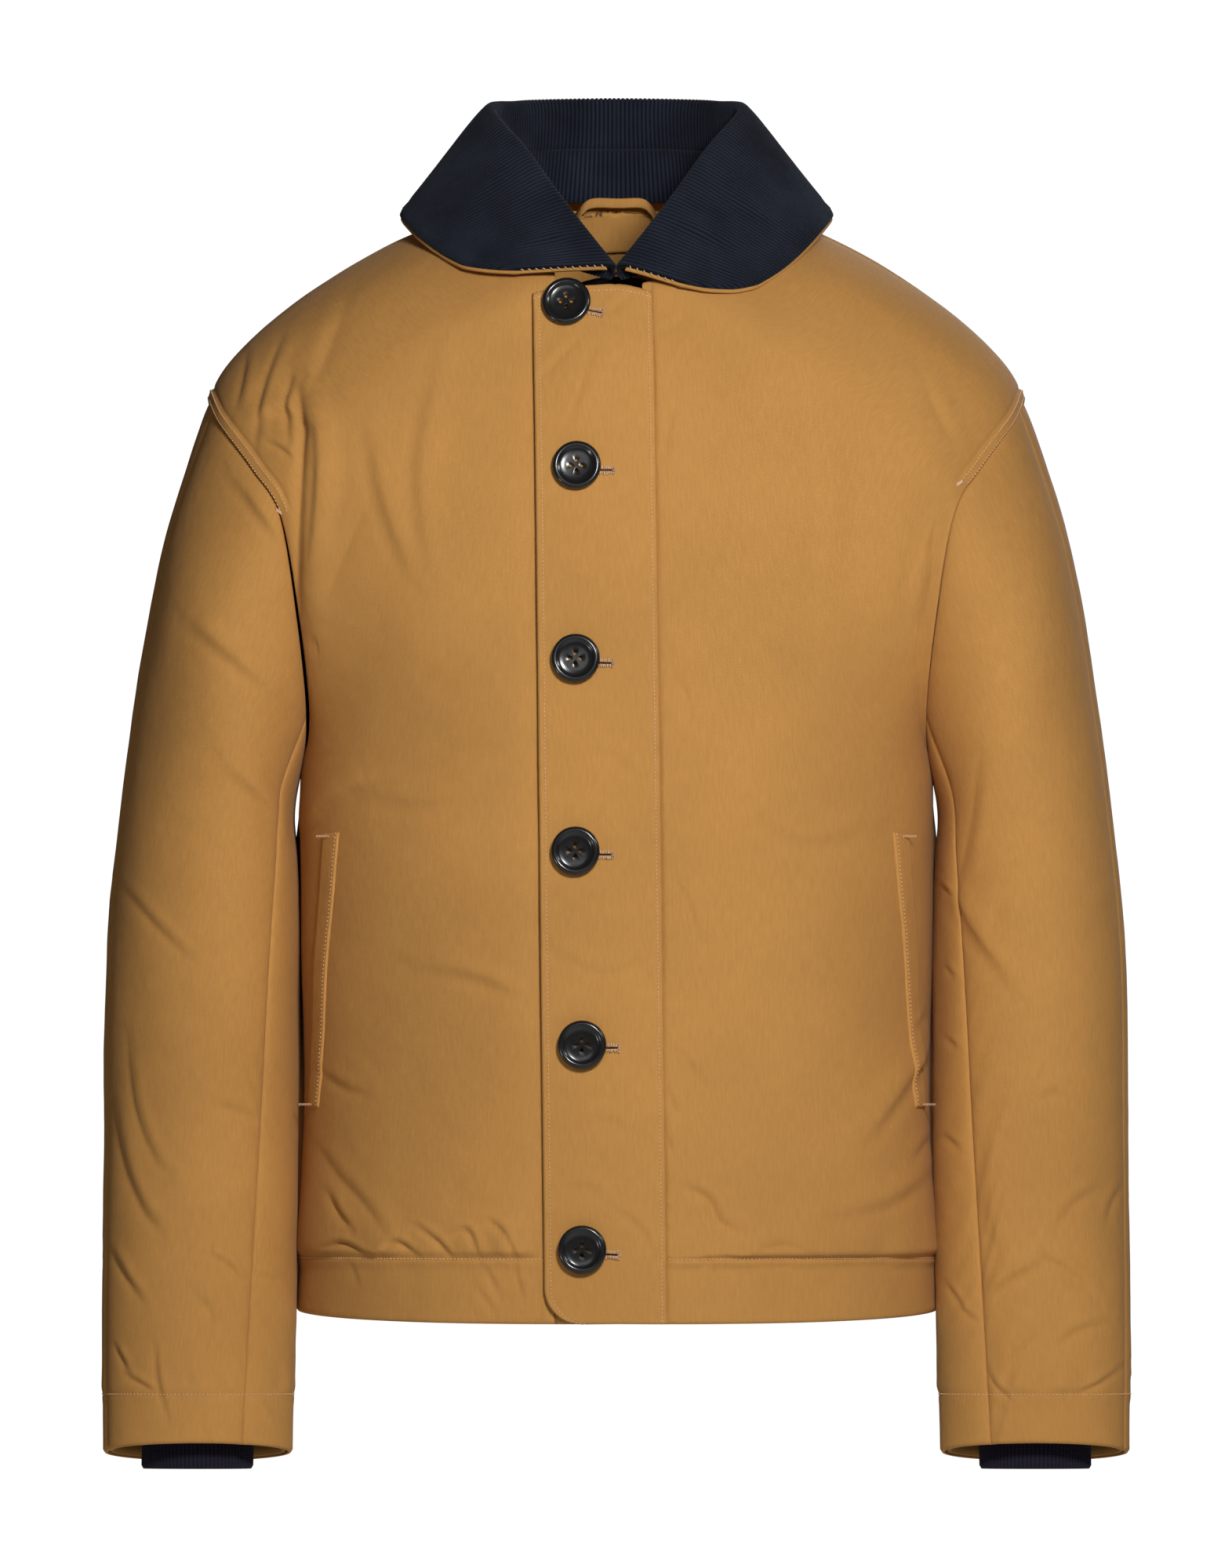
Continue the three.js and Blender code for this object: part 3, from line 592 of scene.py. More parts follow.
TAN_CLOTH = gabardine("tan_gabardine", TAN)
# The turned-up cloth: the tan with painted shade.
SHADED_TURNED_TAN = gabardine("tan_painted_shade_turned_up", TAN_SHADE_PAINTED)
# The linings and pocket bags: painted nearly black as shade.
SHADE_BLACK_LINING = gabardine("lining_painted_shade_black", BLACK_SHADE_PAINTED)
print("cloths:", TAN_CLOTH.name, SHADED_TURNED_TAN.name, SHADE_BLACK_LINING.name)

# %% [markdown]
# Corduroy and rib knit both have real ridges in their meshes. An attribute says how high on its ridge
# each point is, and from it the finish paints shade, nearly black, in the hollows and a highlight on the
# crests.

# %% Corduroy and rib knit
NAVY = (0.0058, 0.0074, 0.0118)
RIB_NAVY = (0.0125, 0.0105, 0.021)
KNIT_PITCH = 0.0014


def corduroy(name, colour):
    material, tree, shader = finish_base(name, colour, 0.9, sheen=0.06, specular=0.08)
    ridge = tree.nodes.new("ShaderNodeAttribute")
    ridge.attribute_name = "wale"
    # Painted shade and highlight: the wale hollows are darkened to near black and the crests brightened.
    painted_wale_shade = blend_colours(tree, ridge.outputs["Fac"], tint(colour, 0.12), tint(colour, 2.3))
    brushed = blend_colours(tree, noise(tree, "Object", 26.0, 5.0), (0.72, 0.74, 0.8), (1.45, 1.45, 1.5))
    brushed.color_ramp.elements[0].position, brushed.color_ramp.elements[1].position = 0.35, 0.7
    brushed_wale_shade = multiply(tree, painted_wale_shade.outputs["Color"], brushed.outputs["Color"])
    tree.links.new(brushed_wale_shade, shader.inputs["Base Color"])
    tufts = noise(tree, "UV", 1500.0, 2.0, (1, 0.5, 1))
    add_bump(tree, shader, [(tufts, 0.0003), (noise(tree, "Object", 60.0, 4.0), 0.0005)])
    return material


def knit(name, colour):
    material, tree, shader = finish_base(name, colour, 0.92, sheen=0.08, specular=0.08)
    ridge = tree.nodes.new("ShaderNodeAttribute")
    ridge.attribute_name = "wale"
    # Painted shade and highlight: the rib hollows are darkened and the crests brightened.
    painted_rib_shade = blend_colours(tree, ridge.outputs["Fac"], tint(colour, 0.45), tint(colour, 1.4))
    tree.links.new(painted_rib_shade.outputs["Color"], shader.inputs["Base Color"])
    loops = waves(tree, "Y", KNIT_PITCH, 1.5)
    add_bump(tree, shader, [(loops, 0.0004), (noise(tree, "UV", 1200.0), 0.0002)])
    return material


CORDUROY = corduroy("navy_corduroy", NAVY)
RIB_KNIT = knit("navy_rib_knit", RIB_NAVY)
print("ribbed:", CORDUROY.name, RIB_KNIT.name)

# %% [markdown]
# Thread is a little glossier than the cloth and paler than it. The buttons are polished horn: nearly
# black with a faint cloud in it, and a clear top layer that keeps sharp highlights on the rims.

# %% Thread and horn
def sewing_thread(name, colour):
    material, tree, shader = finish_base(name, colour, 0.6, sheen=0.2)
    twist = blend_colours(tree, noise(tree, "Object", 2500.0, 2.0), tint(colour, 0.8), tint(colour, 1.15))
    tree.links.new(twist.outputs["Color"], shader.inputs["Base Color"])
    add_bump(tree, shader, [(noise(tree, "Object", 3000.0, 2.0), 0.0001)])
    return material


def polished_horn(name):
    material, tree, shader = finish_base(name, (0.006, 0.0063, 0.007), 0.25, specular=0.4)
    shader.inputs["Coat Weight"].default_value = 0.2
    shader.inputs["Coat Roughness"].default_value = 0.12
    drift = noise(tree, "Object", 90.0, 5.0)
    cloud = blend_colours(tree, drift, (0.005, 0.0053, 0.006), (0.010, 0.0104, 0.0115))
    tree.links.new(cloud.outputs["Color"], shader.inputs["Base Color"])
    smear = noise(tree, "Object", 220.0, 3.0)
    add_bump(tree, shader, [(smear, 0.00005)])
    return material


SEAM_THREAD = sewing_thread("seam_thread", (0.64, 0.38, 0.17))
HOLE_THREAD = sewing_thread("buttonhole_thread", (0.62, 0.4, 0.24))
HORN = polished_horn("black_horn")
print("thread and horn:", SEAM_THREAD.name, HOLE_THREAD.name, HORN.name)

# %% [markdown]
# ## Folds
# Cloth over a body folds where it is drawn in: above the hem, at the armholes, along the pocket seams
# and down the sleeves. A fold is a ridge with a hollow beside it, and a crease is a narrow valley with a
# lip. Both are drawn along a short line, as with a sculpting brush. Each stroke has a height, below zero
# for a crease, a width and the points that it runs through, in millimetres across and up the jacket.

# %% Strokes on the front, the back and the sleeves
FRONT_FOLDS = [
    (3.0, 9, [(-228, -120), (-205, -110), (-180, -125)]),
    (5.5, 10, [(-188, -98), (-182, -120), (-181, -150), (-184, -190), (-188, -222), (-184, -250)]),
    (-6.5, 6, [(-196, -100), (-193, -120), (-194, -150), (-196, -190), (-197, -228), (-194, -262)]),
    (-3.0, 4, [(-216, -133), (-207, -137), (-199, -143)]),
    (-3.4, 5, [(-199, -88), (-203, -110), (-201, -133)]),
    (-2.8, 6, [(-205, -68), (-217, -98), (-223, -142)]),
    (-2.6, 6, [(-227, -78), (-234, -112)]),
    (-1.8, 10, [(-164, -42), (-177, -78), (-187, -100)]),
    (-1.6, 10, [(-152, -168), (-166, -200), (-176, -226)]),
    (2.0, 10, [(-150, -120), (-140, -170), (-122, -215)]),
    (1.6, 11, [(-105, -75), (-118, -150), (-112, -210)]),
    (2.5, 9, [(-196, -372), (-178, -352), (-150, -338)]),
    (1.8, 9, [(-120, -452), (-85, -458), (-56, -470)]),
    (-1.8, 7, [(-182, -520), (-168, -530), (-152, -535)]),
    (-2.6, 5, [(-176, -594), (-168, -608), (-160, -618)]),
    (-1.8, 8, [(-182, -566), (-170, -584), (-152, -604), (-136, -624)]),
    (-3.2, 4, [(-179, -630), (-166, -626), (-150, -633)]),
    (-3.2, 4, [(-143, -633), (-133, -625), (-121, -633)]),
    (-3.0, 4, [(-123, -614), (-109, -624), (-100, -635)]),
    (-2.8, 4, [(-101, -621), (-90, -618), (-83, -635)]),
    (-3.0, 4, [(-79, -611), (-68, -619), (-61, -635)]),
    (2.6, 7, [(-58, -612), (-66, -622), (-70, -634)]),
    (-1.6, 4, [(-81, -640), (-72, -656)]),
    (-1.6, 4, [(-63, -638), (-57, -662)]),
    (-1.4, 4, [(-86, -652), (-74, -669)]),
    (-1.2, 4, [(-163, -638), (-158, -652)]),
    (-3.6, 6, [(213, -163), (203, -176), (192, -200)]),
    (2.6, 9, [(184, -240), (186, -215), (196, -182)]),
    (-2.0, 8, [(190, -96), (196, -112), (207, -134)]),
    (-2.0, 7, [(62, -54), (47, -74), (29, -108)]),
    (-1.5, 6, [(44, -54), (34, -62), (24, -66)]),
    (-1.4, 7, [(36, -108), (31, -128), (28, -150)]),
    (-1.6, 7, [(32, -396), (44, -420), (52, -448)]),
    (-1.5, 6, [(31, -268), (42, -290), (50, -318)]),
    (-1.8, 7, [(34, -507), (45, -518), (56, -533)]),
    (-1.8, 5, [(30, -530), (37, -547)]),
    (-1.8, 5, [(30, -556), (35, -574)]),
    (-2.2, 4, [(27, -600), (38, -609)]),
    (-2.2, 4, [(27, -611), (38, -622)]),
    (-3.6, 7, [(39, -590), (55, -598), (62, -612), (80, -622)]),
    (-2.0, 7, [(82, -632), (100, -627), (122, -633)]),
    (-2.6, 3.5, [(56, -626), (55, -641), (51, -655), (51, -672)]),
    (-1.3, 4, [(175, -642), (186, -650), (193, -640)]),
    (-1.6, 5, [(192, -484), (182, -494)]),
    (-1.6, 5, [(191, -514), (182, -523)]),
    (-1.5, 6, [(192, -560), (180, -575)]),
    (2.4, 9, [(192, -500), (172, -528), (150, -560)]),
    (2.0, 9, [(192, -575), (165, -596), (128, -606)]),
    (2.0, 12, [(120, -90), (132, -160), (126, -230)]),
    (1.6, 12, [(70, -340), (110, -372), (156, -366)]),
    (1.6, 12, [(-70, -330), (-110, -350), (-150, -346)]),
]
BACK_FOLDS = [
    (4.0, 13, [(205, -190), (170, -235), (150, -300)]),
    (4.0, 13, [(-205, -190), (-170, -235), (-150, -300)]),
    (3.5, 12, [(188, -330), (150, -350), (100, -352)]),
    (3.5, 12, [(-188, -330), (-150, -350), (-104, -356)]),
    (2.6, 15, [(120, -60), (90, -120), (84, -200)]),
    (2.6, 15, [(-120, -60), (-90, -120), (-84, -200)]),
    (2.6, 12, [(-170, -560), (-110, -590), (-60, -622)]),
    (2.6, 12, [(170, -540), (120, -585), (66, -622)]),
    (2.2, 12, [(-30, -520), (10, -560), (60, -570)]),
    (2.2, 14, [(-60, -420), (-10, -440), (50, -430)]),
]
SLEEVE_FOLDS = {
    "right": [
        (3.0, 8, [(-236, -150), (-216, -176), (-200, -200)]),
        (2.6, 9, [(-262, -240), (-236, -262), (-206, -290)]),
        (2.6, 9, [(-240, -328), (-218, -350), (-206, -372)]),
        (-2.2, 7, [(-306, -404), (-284, -430), (-262, -452)]),
        (-2.0, 7, [(-250, -540), (-232, -546), (-212, -556)]),
        (-2.4, 7, [(-301, -496), (-297, -540), (-286, -572), (-275, -584)]),
        (-3.8, 8, [(-311, -540), (-303, -580), (-293, -604), (-281, -619)]),
        (-3.2, 6, [(-313, -628), (-303, -646), (-291, -663)]),
        (-2.8, 4, [(-253, -632), (-243, -637), (-236, -643), (-231, -651)]),
        (-2.6, 4, [(-232, -650), (-222, -646), (-214, -648), (-208, -653)]),
        (-2.6, 4, [(-309, -688), (-300, -705)]),
        (-2.6, 4, [(-302, -707), (-285, -717)]),
        (-2.2, 4, [(-284, -688), (-282, -712), (-275, -738)]),
        (-2.0, 4, [(-231, -694), (-225, -713)]),
        (-1.8, 4, [(-223, -724), (-214, -740)]),
        (-1.5, 6, [(-262, -655), (-250, -670), (-254, -690)]),
    ],
    "left": [
        (-2.6, 9, [(224, -325), (218, -368), (210, -408)]),
        (-1.8, 9, [(252, -388), (238, -410), (232, -440)]),
        (2.6, 10, [(206, -402), (222, -430), (250, -470)]),
        (-1.8, 7, [(258, -541), (270, -534), (282, -543)]),
        (-2.0, 7, [(271, -618), (281, -603), (299, -591)]),
        (-2.0, 5, [(301, -614), (306, -600), (313, -588)]),
        (3.0, 8, [(221, -664), (238, -647), (262, -633)]),
        (-2.6, 6, [(256, -632), (272, -640), (285, -650), (297, -663)]),
        (-2.2, 5, [(240, -709), (246, -695), (263, -680)]),
        (-2.0, 6, [(268, -691), (285, -680), (304, -675)]),
        (-3.0, 4, [(283, -719), (298, -712), (316, -699)]),
        (-2.4, 4, [(226, -700), (232, -712), (244, -724)]),
        (-3.0, 4, [(214, -668), (222, -673), (230, -671)]),
        (-1.8, 4, [(200, -405), (208, -413)]),
        (-1.8, 4, [(203, -455), (209, -463)]),
        (-1.8, 4, [(204, -500), (211, -506)]),
        (-2.0, 4, [(203, -560), (213, -568)]),
        (-2.2, 4, [(204, -650), (216, -669)]),
        (2.0, 12, [(236, -560), (232, -600), (242, -634)]),
    ],
}


def fold_profile(d, height):
    """Ridges fall softly on their upper side and steeply below; creases have a lip above them."""
    if height > 0:
        return np.exp(-(d / np.where(d > 0, 1.1, 0.5)) ** 2) - 0.35 * np.exp(-(((d + 1.1) / 0.5) ** 2))
    return np.exp(-np.abs(d) / 0.5) - 0.45 * np.exp(-(((d - 1.0) / 0.7) ** 2))


def stroke_heights(x, z, folds):
    """Height of all strokes at points x across and z up."""
    total = np.zeros_like(x)
    for height, width, points in folds:
        keys = np.array([(px, pz, 0) for px, pz in points], float)
        low, high = keys.min(0) - 3 * width, keys.max(0) + 3 * width
        near = (x > low[0]) & (x < high[0]) & (z > low[1]) & (z < high[1])
        route = through(keys, np.linspace(0, len(points) - 1, 18))
        px, pz = x[near], z[near]
        best, side, along = np.full(px.shape, 1e9), np.zeros(px.shape), np.zeros(px.shape)
        for n in range(len(route) - 1):
            ax, az = route[n, :2]
            dx, dz = route[n + 1, :2] - route[n, :2]
            t = np.clip(((px - ax) * dx + (pz - az) * dz) / (dx * dx + dz * dz), 0, 1)
            ox, oz = px - ax - t * dx, pz - az - t * dz
            gap = np.hypot(ox, oz)
            nearer = gap < best
            best = np.where(nearer, gap, best)
            side = np.where(nearer, np.sign(dx * oz - dz * ox), side)
            along = np.where(nearer, (n + t) / (len(route) - 1), along)
        run = keys[-1] - keys[0]
        upward = 1 if 0.94 * run[0] - 0.35 * run[1] > 0 else -1
        taper = np.sin(np.pi * np.clip(along, 0.04, 0.96)) ** 0.7
        total[near] += height * taper * fold_profile(best * side * upward / (0.8 * width), height)
    return total


# %% [markdown]
# Between the folds no cloth is flat. Sums of a few long, short and very short waves, each in a random
# direction, give the soft drift of padding and the small crumple of washed cotton.

# %% Soft random relief
RANDOM = np.random.default_rng(7)
WAVE_SETS = {
    name: [(RANDOM.normal(0, 1, 2) / size, RANDOM.uniform(0, 2 * np.pi)) for size in sizes]
    for name, sizes in {"broad": [60] * 7, "small": [16] * 9, "crumple": [7] * 10}.items()
}


def relief(x, z, name):
    total = sum(np.sin(x * k[0] + z * k[1] + phase) for k, phase in WAVE_SETS[name])
    return total / math.sqrt(len(WAVE_SETS[name]))


def smooth(a, b, v):
    """0 where v is at a, 1 where it is at b, with a soft step between."""
    t = np.clip((v - a) / (b - a), 0, 1)
    return t * t * (3 - 2 * t)


# %% Swelling at the seams
HEM_STITCH_Z = -635
CUFF_STITCH_Z = -719
PADDING = 2.6  # how far the padded cloth swells between its seams
DEEPEST = -1.2  # folds turn in no further than this, to stay clear of the lining


def rise(d, reach):
    """0 at a seam, 1 well away from it."""
    return 1 - np.exp(-np.maximum(d, 0) / reach)


def roll_in(d, radius):
    """How far an edge with a rounded nose falls away at a distance d from its end."""
    t = np.clip(1 - d / radius, 0, 1)
    return radius * (1 - np.sqrt(1 - 0.9 * t * t))


def hem_swell(z, line, full, reach, groove=0.9):
    """The soft bulge that hangs over a stitched hem, and the groove that the stitches pull."""
    above = smooth(0, 5.5, z - line) * full * np.exp(-np.maximum(z - line - 8, 0) / reach)
    return above - groove * np.exp(-((z - line) / 1.5) ** 2)


def pucker(x, z, line, depth, reach):
    """Short wrinkles that stand on a row of stitches."""
    above = smooth(-1, 5, z - line) * np.exp(-np.maximum(z - line - 6, 0) / reach)
    below = 0.3 * smooth(-1, 5, line - z) * np.exp(-np.maximum(line - z - 5, 0) / (2 * reach))
    wave = relief(x * 2.2, z * 0.35 + x * 0.3, "small") + 0.6 * relief(x * 3.4, z * 0.6, "small")
    return depth * wave * (above + below)


def body_heights(grid, folds, seed):
    """Padding, folds and relief of a body panel, before its seams draw it in."""
    x, z = grid[..., 0], grid[..., 2]
    quiet = 1 - 0.75 * smooth(0, 8, HEM_STITCH_Z - z)
    drift = 0.8 * relief(x + seed, z, "broad") + 0.3 * relief(x, z + seed, "small")
    overhang = 2.4 * smooth(56, 84, x) * smooth(192, 176, x) * smooth(0, 2.4, z - HEM_STITCH_Z)
    return (PADDING * quiet + quiet * drift + stroke_heights(x, z, folds) + 0.09 * relief(x, z, "crumple")
            + hem_swell(z, HEM_STITCH_Z, 3.0, 40) + pucker(x, z, HEM_STITCH_Z, 1.1, 11)
            + overhang * np.exp(-np.maximum(z - HEM_STITCH_Z - 4, 0) / 16))


def sleeve_heights(grid, t, folds, seed):
    """The same for a sleeve, whose folds run on round its back a little lower."""
    x, y, z = grid[..., 0], grid[..., 1], grid[..., 2]
    front = smooth(-0.2, 0.3, np.sin(2 * np.pi * t))
    quiet = 1 - 0.8 * smooth(0, 8, CUFF_STITCH_Z - z)
    behind = [(h, w, [(px, pz - 17) for px, pz in points]) for h, w, points in folds]
    strokes = front * stroke_heights(x, z, folds) + (1 - front) * stroke_heights(x, z + 0.2 * y, behind)
    drift = 0.7 * relief(x + y + seed, z, "broad") + 0.35 * relief(x - y, z + seed, "small")
    padding = 0.7 + 0.7 * smooth(-560, -300, z)
    to_body = np.exp(-(((t - 0.5) / 0.12) ** 2)) * smooth(-390, -450, z) * smooth(-715, -640, z)
    return (padding + quiet * drift + strokes + 0.09 * relief(x + y, z, "crumple") + to_body
            + hem_swell(z, CUFF_STITCH_Z, 0.3, 30, 0.4) + pucker(x + y, z, CUFF_STITCH_Z, 0.8, 11))


# %% [markdown]
# ## Buckling
# Cloth that is a little longer than the space between its seams buckles, and the creases of worn cotton
# come from that. A coarse copy of each panel is given to the cloth solver with its seams pinned, its
# inside held weakly and its threads a few per cent too long. The creases it finds are laid back on the
# fine grid as heights.

# %% Let a panel buckle
SOLVER_SCALE = 10.0  # the solver is tuned for larger objects than a panel
SOLVER_FRAMES = 30
LONGER = 0.11  # how much too long the threads are where the growth is full


def resample(field, rows, cols):
    """Values on a coarse grid read smoothly at fractional rows and columns."""
    def along(f, places):
        """Values between the rows of f."""
        i = np.clip(np.floor(places).astype(int), 0, len(f) - 2)
        t = (places - i)[:, None]
        pad = np.concatenate([2 * f[:1] - f[1:2], f, 2 * f[-1:] - f[-2:-1]])
        a, b, c, d = (pad[i + n] for n in range(4))
        return catmull(a, b, c, d, t)

    return along(along(field, rows).T, cols).T


def buckled(name, grid, outward, heights, growth, hold, every=3, stiffness=0.15):
    """The heights of a panel after its cloth has buckled."""
    rows, cols = grid.shape[:2]
    pick = lambda n: np.unique(np.append(np.arange(0, n, every), n - 1))
    jr, ic = pick(rows), pick(cols)
    out = (normals_of(grid) * outward)[np.ix_(jr, ic)]
    flat = grid[np.ix_(jr, ic)]
    begin = flat + out * heights[np.ix_(jr, ic)][..., None]
    n, m = len(jr), len(ic)
    j, i = (a.ravel() for a in np.meshgrid(np.arange(n - 1), np.arange(m - 1), indexing="ij"))
    quads = np.stack([j * m + i, (j + 1) * m + i, (j + 1) * m + i + 1, j * m + i + 1], 1)
    mesh = bpy.data.meshes.new(name)
    mesh.from_pydata((begin.reshape(-1, 3) * MM * SOLVER_SCALE).tolist(), [], quads.tolist())
    sheet = bpy.data.objects.new(name, mesh)
    bpy.context.collection.objects.link(sheet)
    for key, values in (("hold", hold), ("grow", growth)):
        group = sheet.vertex_groups.new(name=key)
        for index, weight in enumerate(np.clip(values[np.ix_(jr, ic)], 0, 1).ravel()):
            group.add([index], float(weight), "REPLACE")
    modifier = sheet.modifiers.new("cloth", "CLOTH")
    cloth = modifier.settings
    cloth.quality = 5
    cloth.mass = 0.3
    cloth.tension_stiffness = 20
    cloth.compression_stiffness = 20
    cloth.shear_stiffness = 8
    cloth.bending_stiffness = stiffness
    cloth.air_damping = 4
    cloth.vertex_group_mass = "hold"
    cloth.pin_stiffness = 1.0
    cloth.vertex_group_shrink = "grow"
    cloth.shrink_max = -LONGER
    cloth.effector_weights.gravity = 0
    modifier.point_cache.frame_start = 1
    modifier.point_cache.frame_end = SOLVER_FRAMES
    for frame_number in range(1, SOLVER_FRAMES + 1):
        bpy.context.scene.frame_set(frame_number)
    solved = sheet.evaluated_get(bpy.context.evaluated_depsgraph_get()).to_mesh()
    moved = np.empty(n * m * 3, np.float32)
    solved.vertices.foreach_get("co", moved)
    moved = moved.reshape(n, m, 3).astype(float) / (MM * SOLVER_SCALE)
    bpy.data.objects.remove(sheet)
    bpy.data.meshes.remove(mesh)
    bpy.context.scene.frame_set(1)
    found = ((moved - begin) * out).sum(-1)
    row_place = np.interp(np.arange(rows), jr, np.arange(n))
    col_place = np.interp(np.arange(cols), ic, np.arange(m))
    result = heights + resample(found, row_place, col_place)
    print("buckled", name, n * m, "points, heights", result.min().round(1), "to", result.max().round(1))
    return result


def soft_limits(heights, low, high):
    """Keep heights between two limits, bending towards them instead of cutting off."""
    middle, half = (low + high) / 2, (high - low) / 2
    return middle + half * np.tanh((heights - middle) / half)


# %% [markdown]
# ## Fronts, back and button stand
# Each panel is cut from the body surface between its real seams. Near a seam the padded cloth is drawn
# down to the stitches, so every seam lies in a shallow valley. Beside the armhole the allowance under
# two rows of stitches lifts a narrow flat band.

# %% Sizes and places across a panel
STEP = 2.1  # spacing of the cloth grids, in millimetres
COARSE = 8.0  # and of the linings
FRONT_WIDTH, BACK_WIDTH = 252, 232  # along the cloth, from the middle to the side seam
SEAM_DEPTH = -0.8
SHOULDER_DEPTH = 0.9  # the shoulder seam lies on a ridge
NOSE = 2.2  # radius of the rounded lower edges
BAND = 7.0  # width of the topstitched band at the armhole
BAND_END_Z = {"left": -160, "right": -177}
STAND_EDGE = 38
PLACKET_TOP = (-51, 22)
PLACKET_FOOT = (-43.5, 31)
PLACKET_LAP = 6
SHELL_CLOTH = 1.6


def even(line, first, last, step):
    """Places along a line that lie step millimetres apart."""
    s = np.linspace(first, last, 700)
    run = lengths(line(s)[:, None], 0)[:, 0]
    return np.interp(np.linspace(0, run[-1], max(int(run[-1] / step), 2) + 1), run, s)


def graded(line, first, last, step, fine_z):
    """Places along a line: step apart, and closer together beside the level of a row of stitches."""
    s = np.linspace(first, last, 1500)
    points = line(s)
    run = lengths(points[:, None], 0)[:, 0]
    spacing = step - (step - 0.9) * np.exp(-(((points[:, 2] - fine_z - 2) / 9) ** 4))
    count = np.concatenate([[0], np.cumsum(np.diff(run) / spacing[1:])])
    return np.interp(np.linspace(0, count[-1], int(count[-1]) + 1), count, s)


def across(cols, crowd=0.35):
    """Shares across a panel, closer together at its edges, where the seams draw the cloth in."""
    t = np.linspace(0, 1, cols)
    return t - crowd * np.sin(2 * np.pi * t) / (2 * np.pi)


# %% A front or back panel, cut between its seams
def body_grid(panel, first, last, rows, cols, offset=0.0):
    share = first[:, None] + (last - first)[:, None] * across(cols)
    return body_offset(panel, share, np.repeat(rows[:, None], cols, 1), offset)


def placket_edge(i, s):
    """Distance of the placket's free edge, 0, or sewn edge, 1, from the centre plane."""
    t = np.clip((s - NECK_ROW) / (HEM_ROW - NECK_ROW), 0, 1)
    return PLACKET_TOP[i] + (PLACKET_FOOT[i] - PLACKET_TOP[i]) * t


def front_start(side, s):
    """Where a front begins: under the placket on the left, at the stand's edge on the right."""
    edge = placket_edge(1, s) - PLACKET_LAP if side == "left" else np.full_like(s, STAND_EDGE)
    return share_at(FRONT, edge, s)


def seam_fade(heights, d, reach=13.0, depth=SEAM_DEPTH):
    """Draw the cloth down to a seam d millimetres away, with a narrow groove at the seam."""
    return depth + (heights - depth) * rise(d, reach) - 0.5 * np.exp(-((d / 1.4) ** 2))


def deepest(x, z):
    """How far in a fold may go: further beside the right sleeve, where the lining lies deep."""
    beside = smooth(-208, -201, x) * smooth(-184, -190, x) * smooth(-275, -245, z) * smooth(-88, -104, z)
    return DEEPEST - 2.4 * beside


def side_swell(end, z):
    """The back is fuller behind the side seams, so it closes the view between body and sleeve."""
    return 7.0 * smooth(4, 30, end) * np.exp(-((np.maximum(end - 42, 0) / 30) ** 2)) * smooth(-330, -400, z)


def armhole_band(heights, grid, d, side):
    """The flat topstitched band beside the armhole, above its bar tack."""
    high = smooth(0, 10, grid[..., 2] - BAND_END_Z[side])
    on = high * smooth(0, 1.2, d) * (1 - smooth(BAND - 1.5, BAND + 1, d))
    return heights * (1 - 0.8 * on) + 1.3 * on - 0.5 * high * np.exp(-((d - BAND - 1.2) / 1.2) ** 2)


# %% [markdown]
# The left front runs under the placket and lies flat beside it. The right front ends at the button
# stand. Below the neck each is drawn in by its own edge, and above it by the neck seam.

# %% The two fronts
BODY_ROWS = graded(lambda s: body_point(FRONT, np.full_like(s, 0.5), s), 0, HEM_ROW, STEP, HEM_STITCH_Z)
print("rows down a front:", len(BODY_ROWS))


def front_cloth(side):
    """A front with its folds, buckled and drawn down to its seams, and where it is worn."""
    sign = SIGN[side]
    cols = int(FRONT_WIDTH / STEP) + 14
    grid = body_grid(FRONT, front_start(side, BODY_ROWS), np.ones_like(BODY_ROWS), BODY_ROWS, cols)
    grid = grid * [sign, 1, 1]
    top, foot, start, end = to_edges(grid)
    heights = body_heights(grid, FRONT_FOLDS, 0)
    x, z = grid[..., 0], grid[..., 2]
    above_hem = smooth(-2, 3, z - HEM_STITCH_Z)
    to_hem = np.maximum(z - HEM_STITCH_Z, 0)
    growth = 0.16 + 0.8 * np.exp(-to_hem / 38) + 0.55 * np.exp(-end / 42) + 0.2 * np.exp(-start / 30)
    hold = np.where(np.minimum(np.minimum(start, end), top) < 4, 1.0, 0.035) + 0.9 * (1 - above_hem)
    hold += 0.2 * np.exp(-np.minimum(start, top) / 12)
    heights = buckled(side + "_front_sheet", grid, -sign, heights, growth * above_hem, hold)
    heights = soft_limits(heights, deepest(x, z) - 0.6, 9)
    on_armhole = (BODY_ROWS < UNDERARM_ROW)[:, None]
    heights = seam_fade(heights, top, 8, SHOULDER_DEPTH)
    heights = seam_fade(heights, end, 12)
    heights = np.where(on_armhole, armhole_band(heights, grid, end, side), heights)
    below_neck = smooth(NECK_ROW - 0.6, NECK_ROW, BODY_ROWS)[:, None]
    neck = seam_fade(heights, start, 10)
    if side == "left":
        lap = start - PLACKET_LAP
        by_placket = np.where(lap < 0, -0.3, -0.3 + (np.maximum(heights, 1.5) + 0.3) * rise(lap + 0.6, 2.2))
        by_placket = np.minimum(by_placket, 2.2 + 0.1 * np.maximum(lap, 0))
    else:
        from_edge = np.abs(grid[..., 0]) - np.abs(placket_edge(0, BODY_ROWS))[:, None]
        by_placket = -0.7 + (heights + 0.7) * rise(from_edge - 2, 7)
    heights = neck + (by_placket - neck) * below_neck
    heights = np.maximum(heights, np.where(z < HEM_STITCH_Z, -0.3, deepest(x, z)))
    heights -= roll_in(foot, NOSE) * 0.8
    return Cloth(grid, -sign, heights), worn_edges(foot, end, start)


def worn_edges(*distances):
    """How much the cloth has faded beside its edges and seams."""
    return sum(np.exp(-(d / 2.5) ** 2) for d in distances)


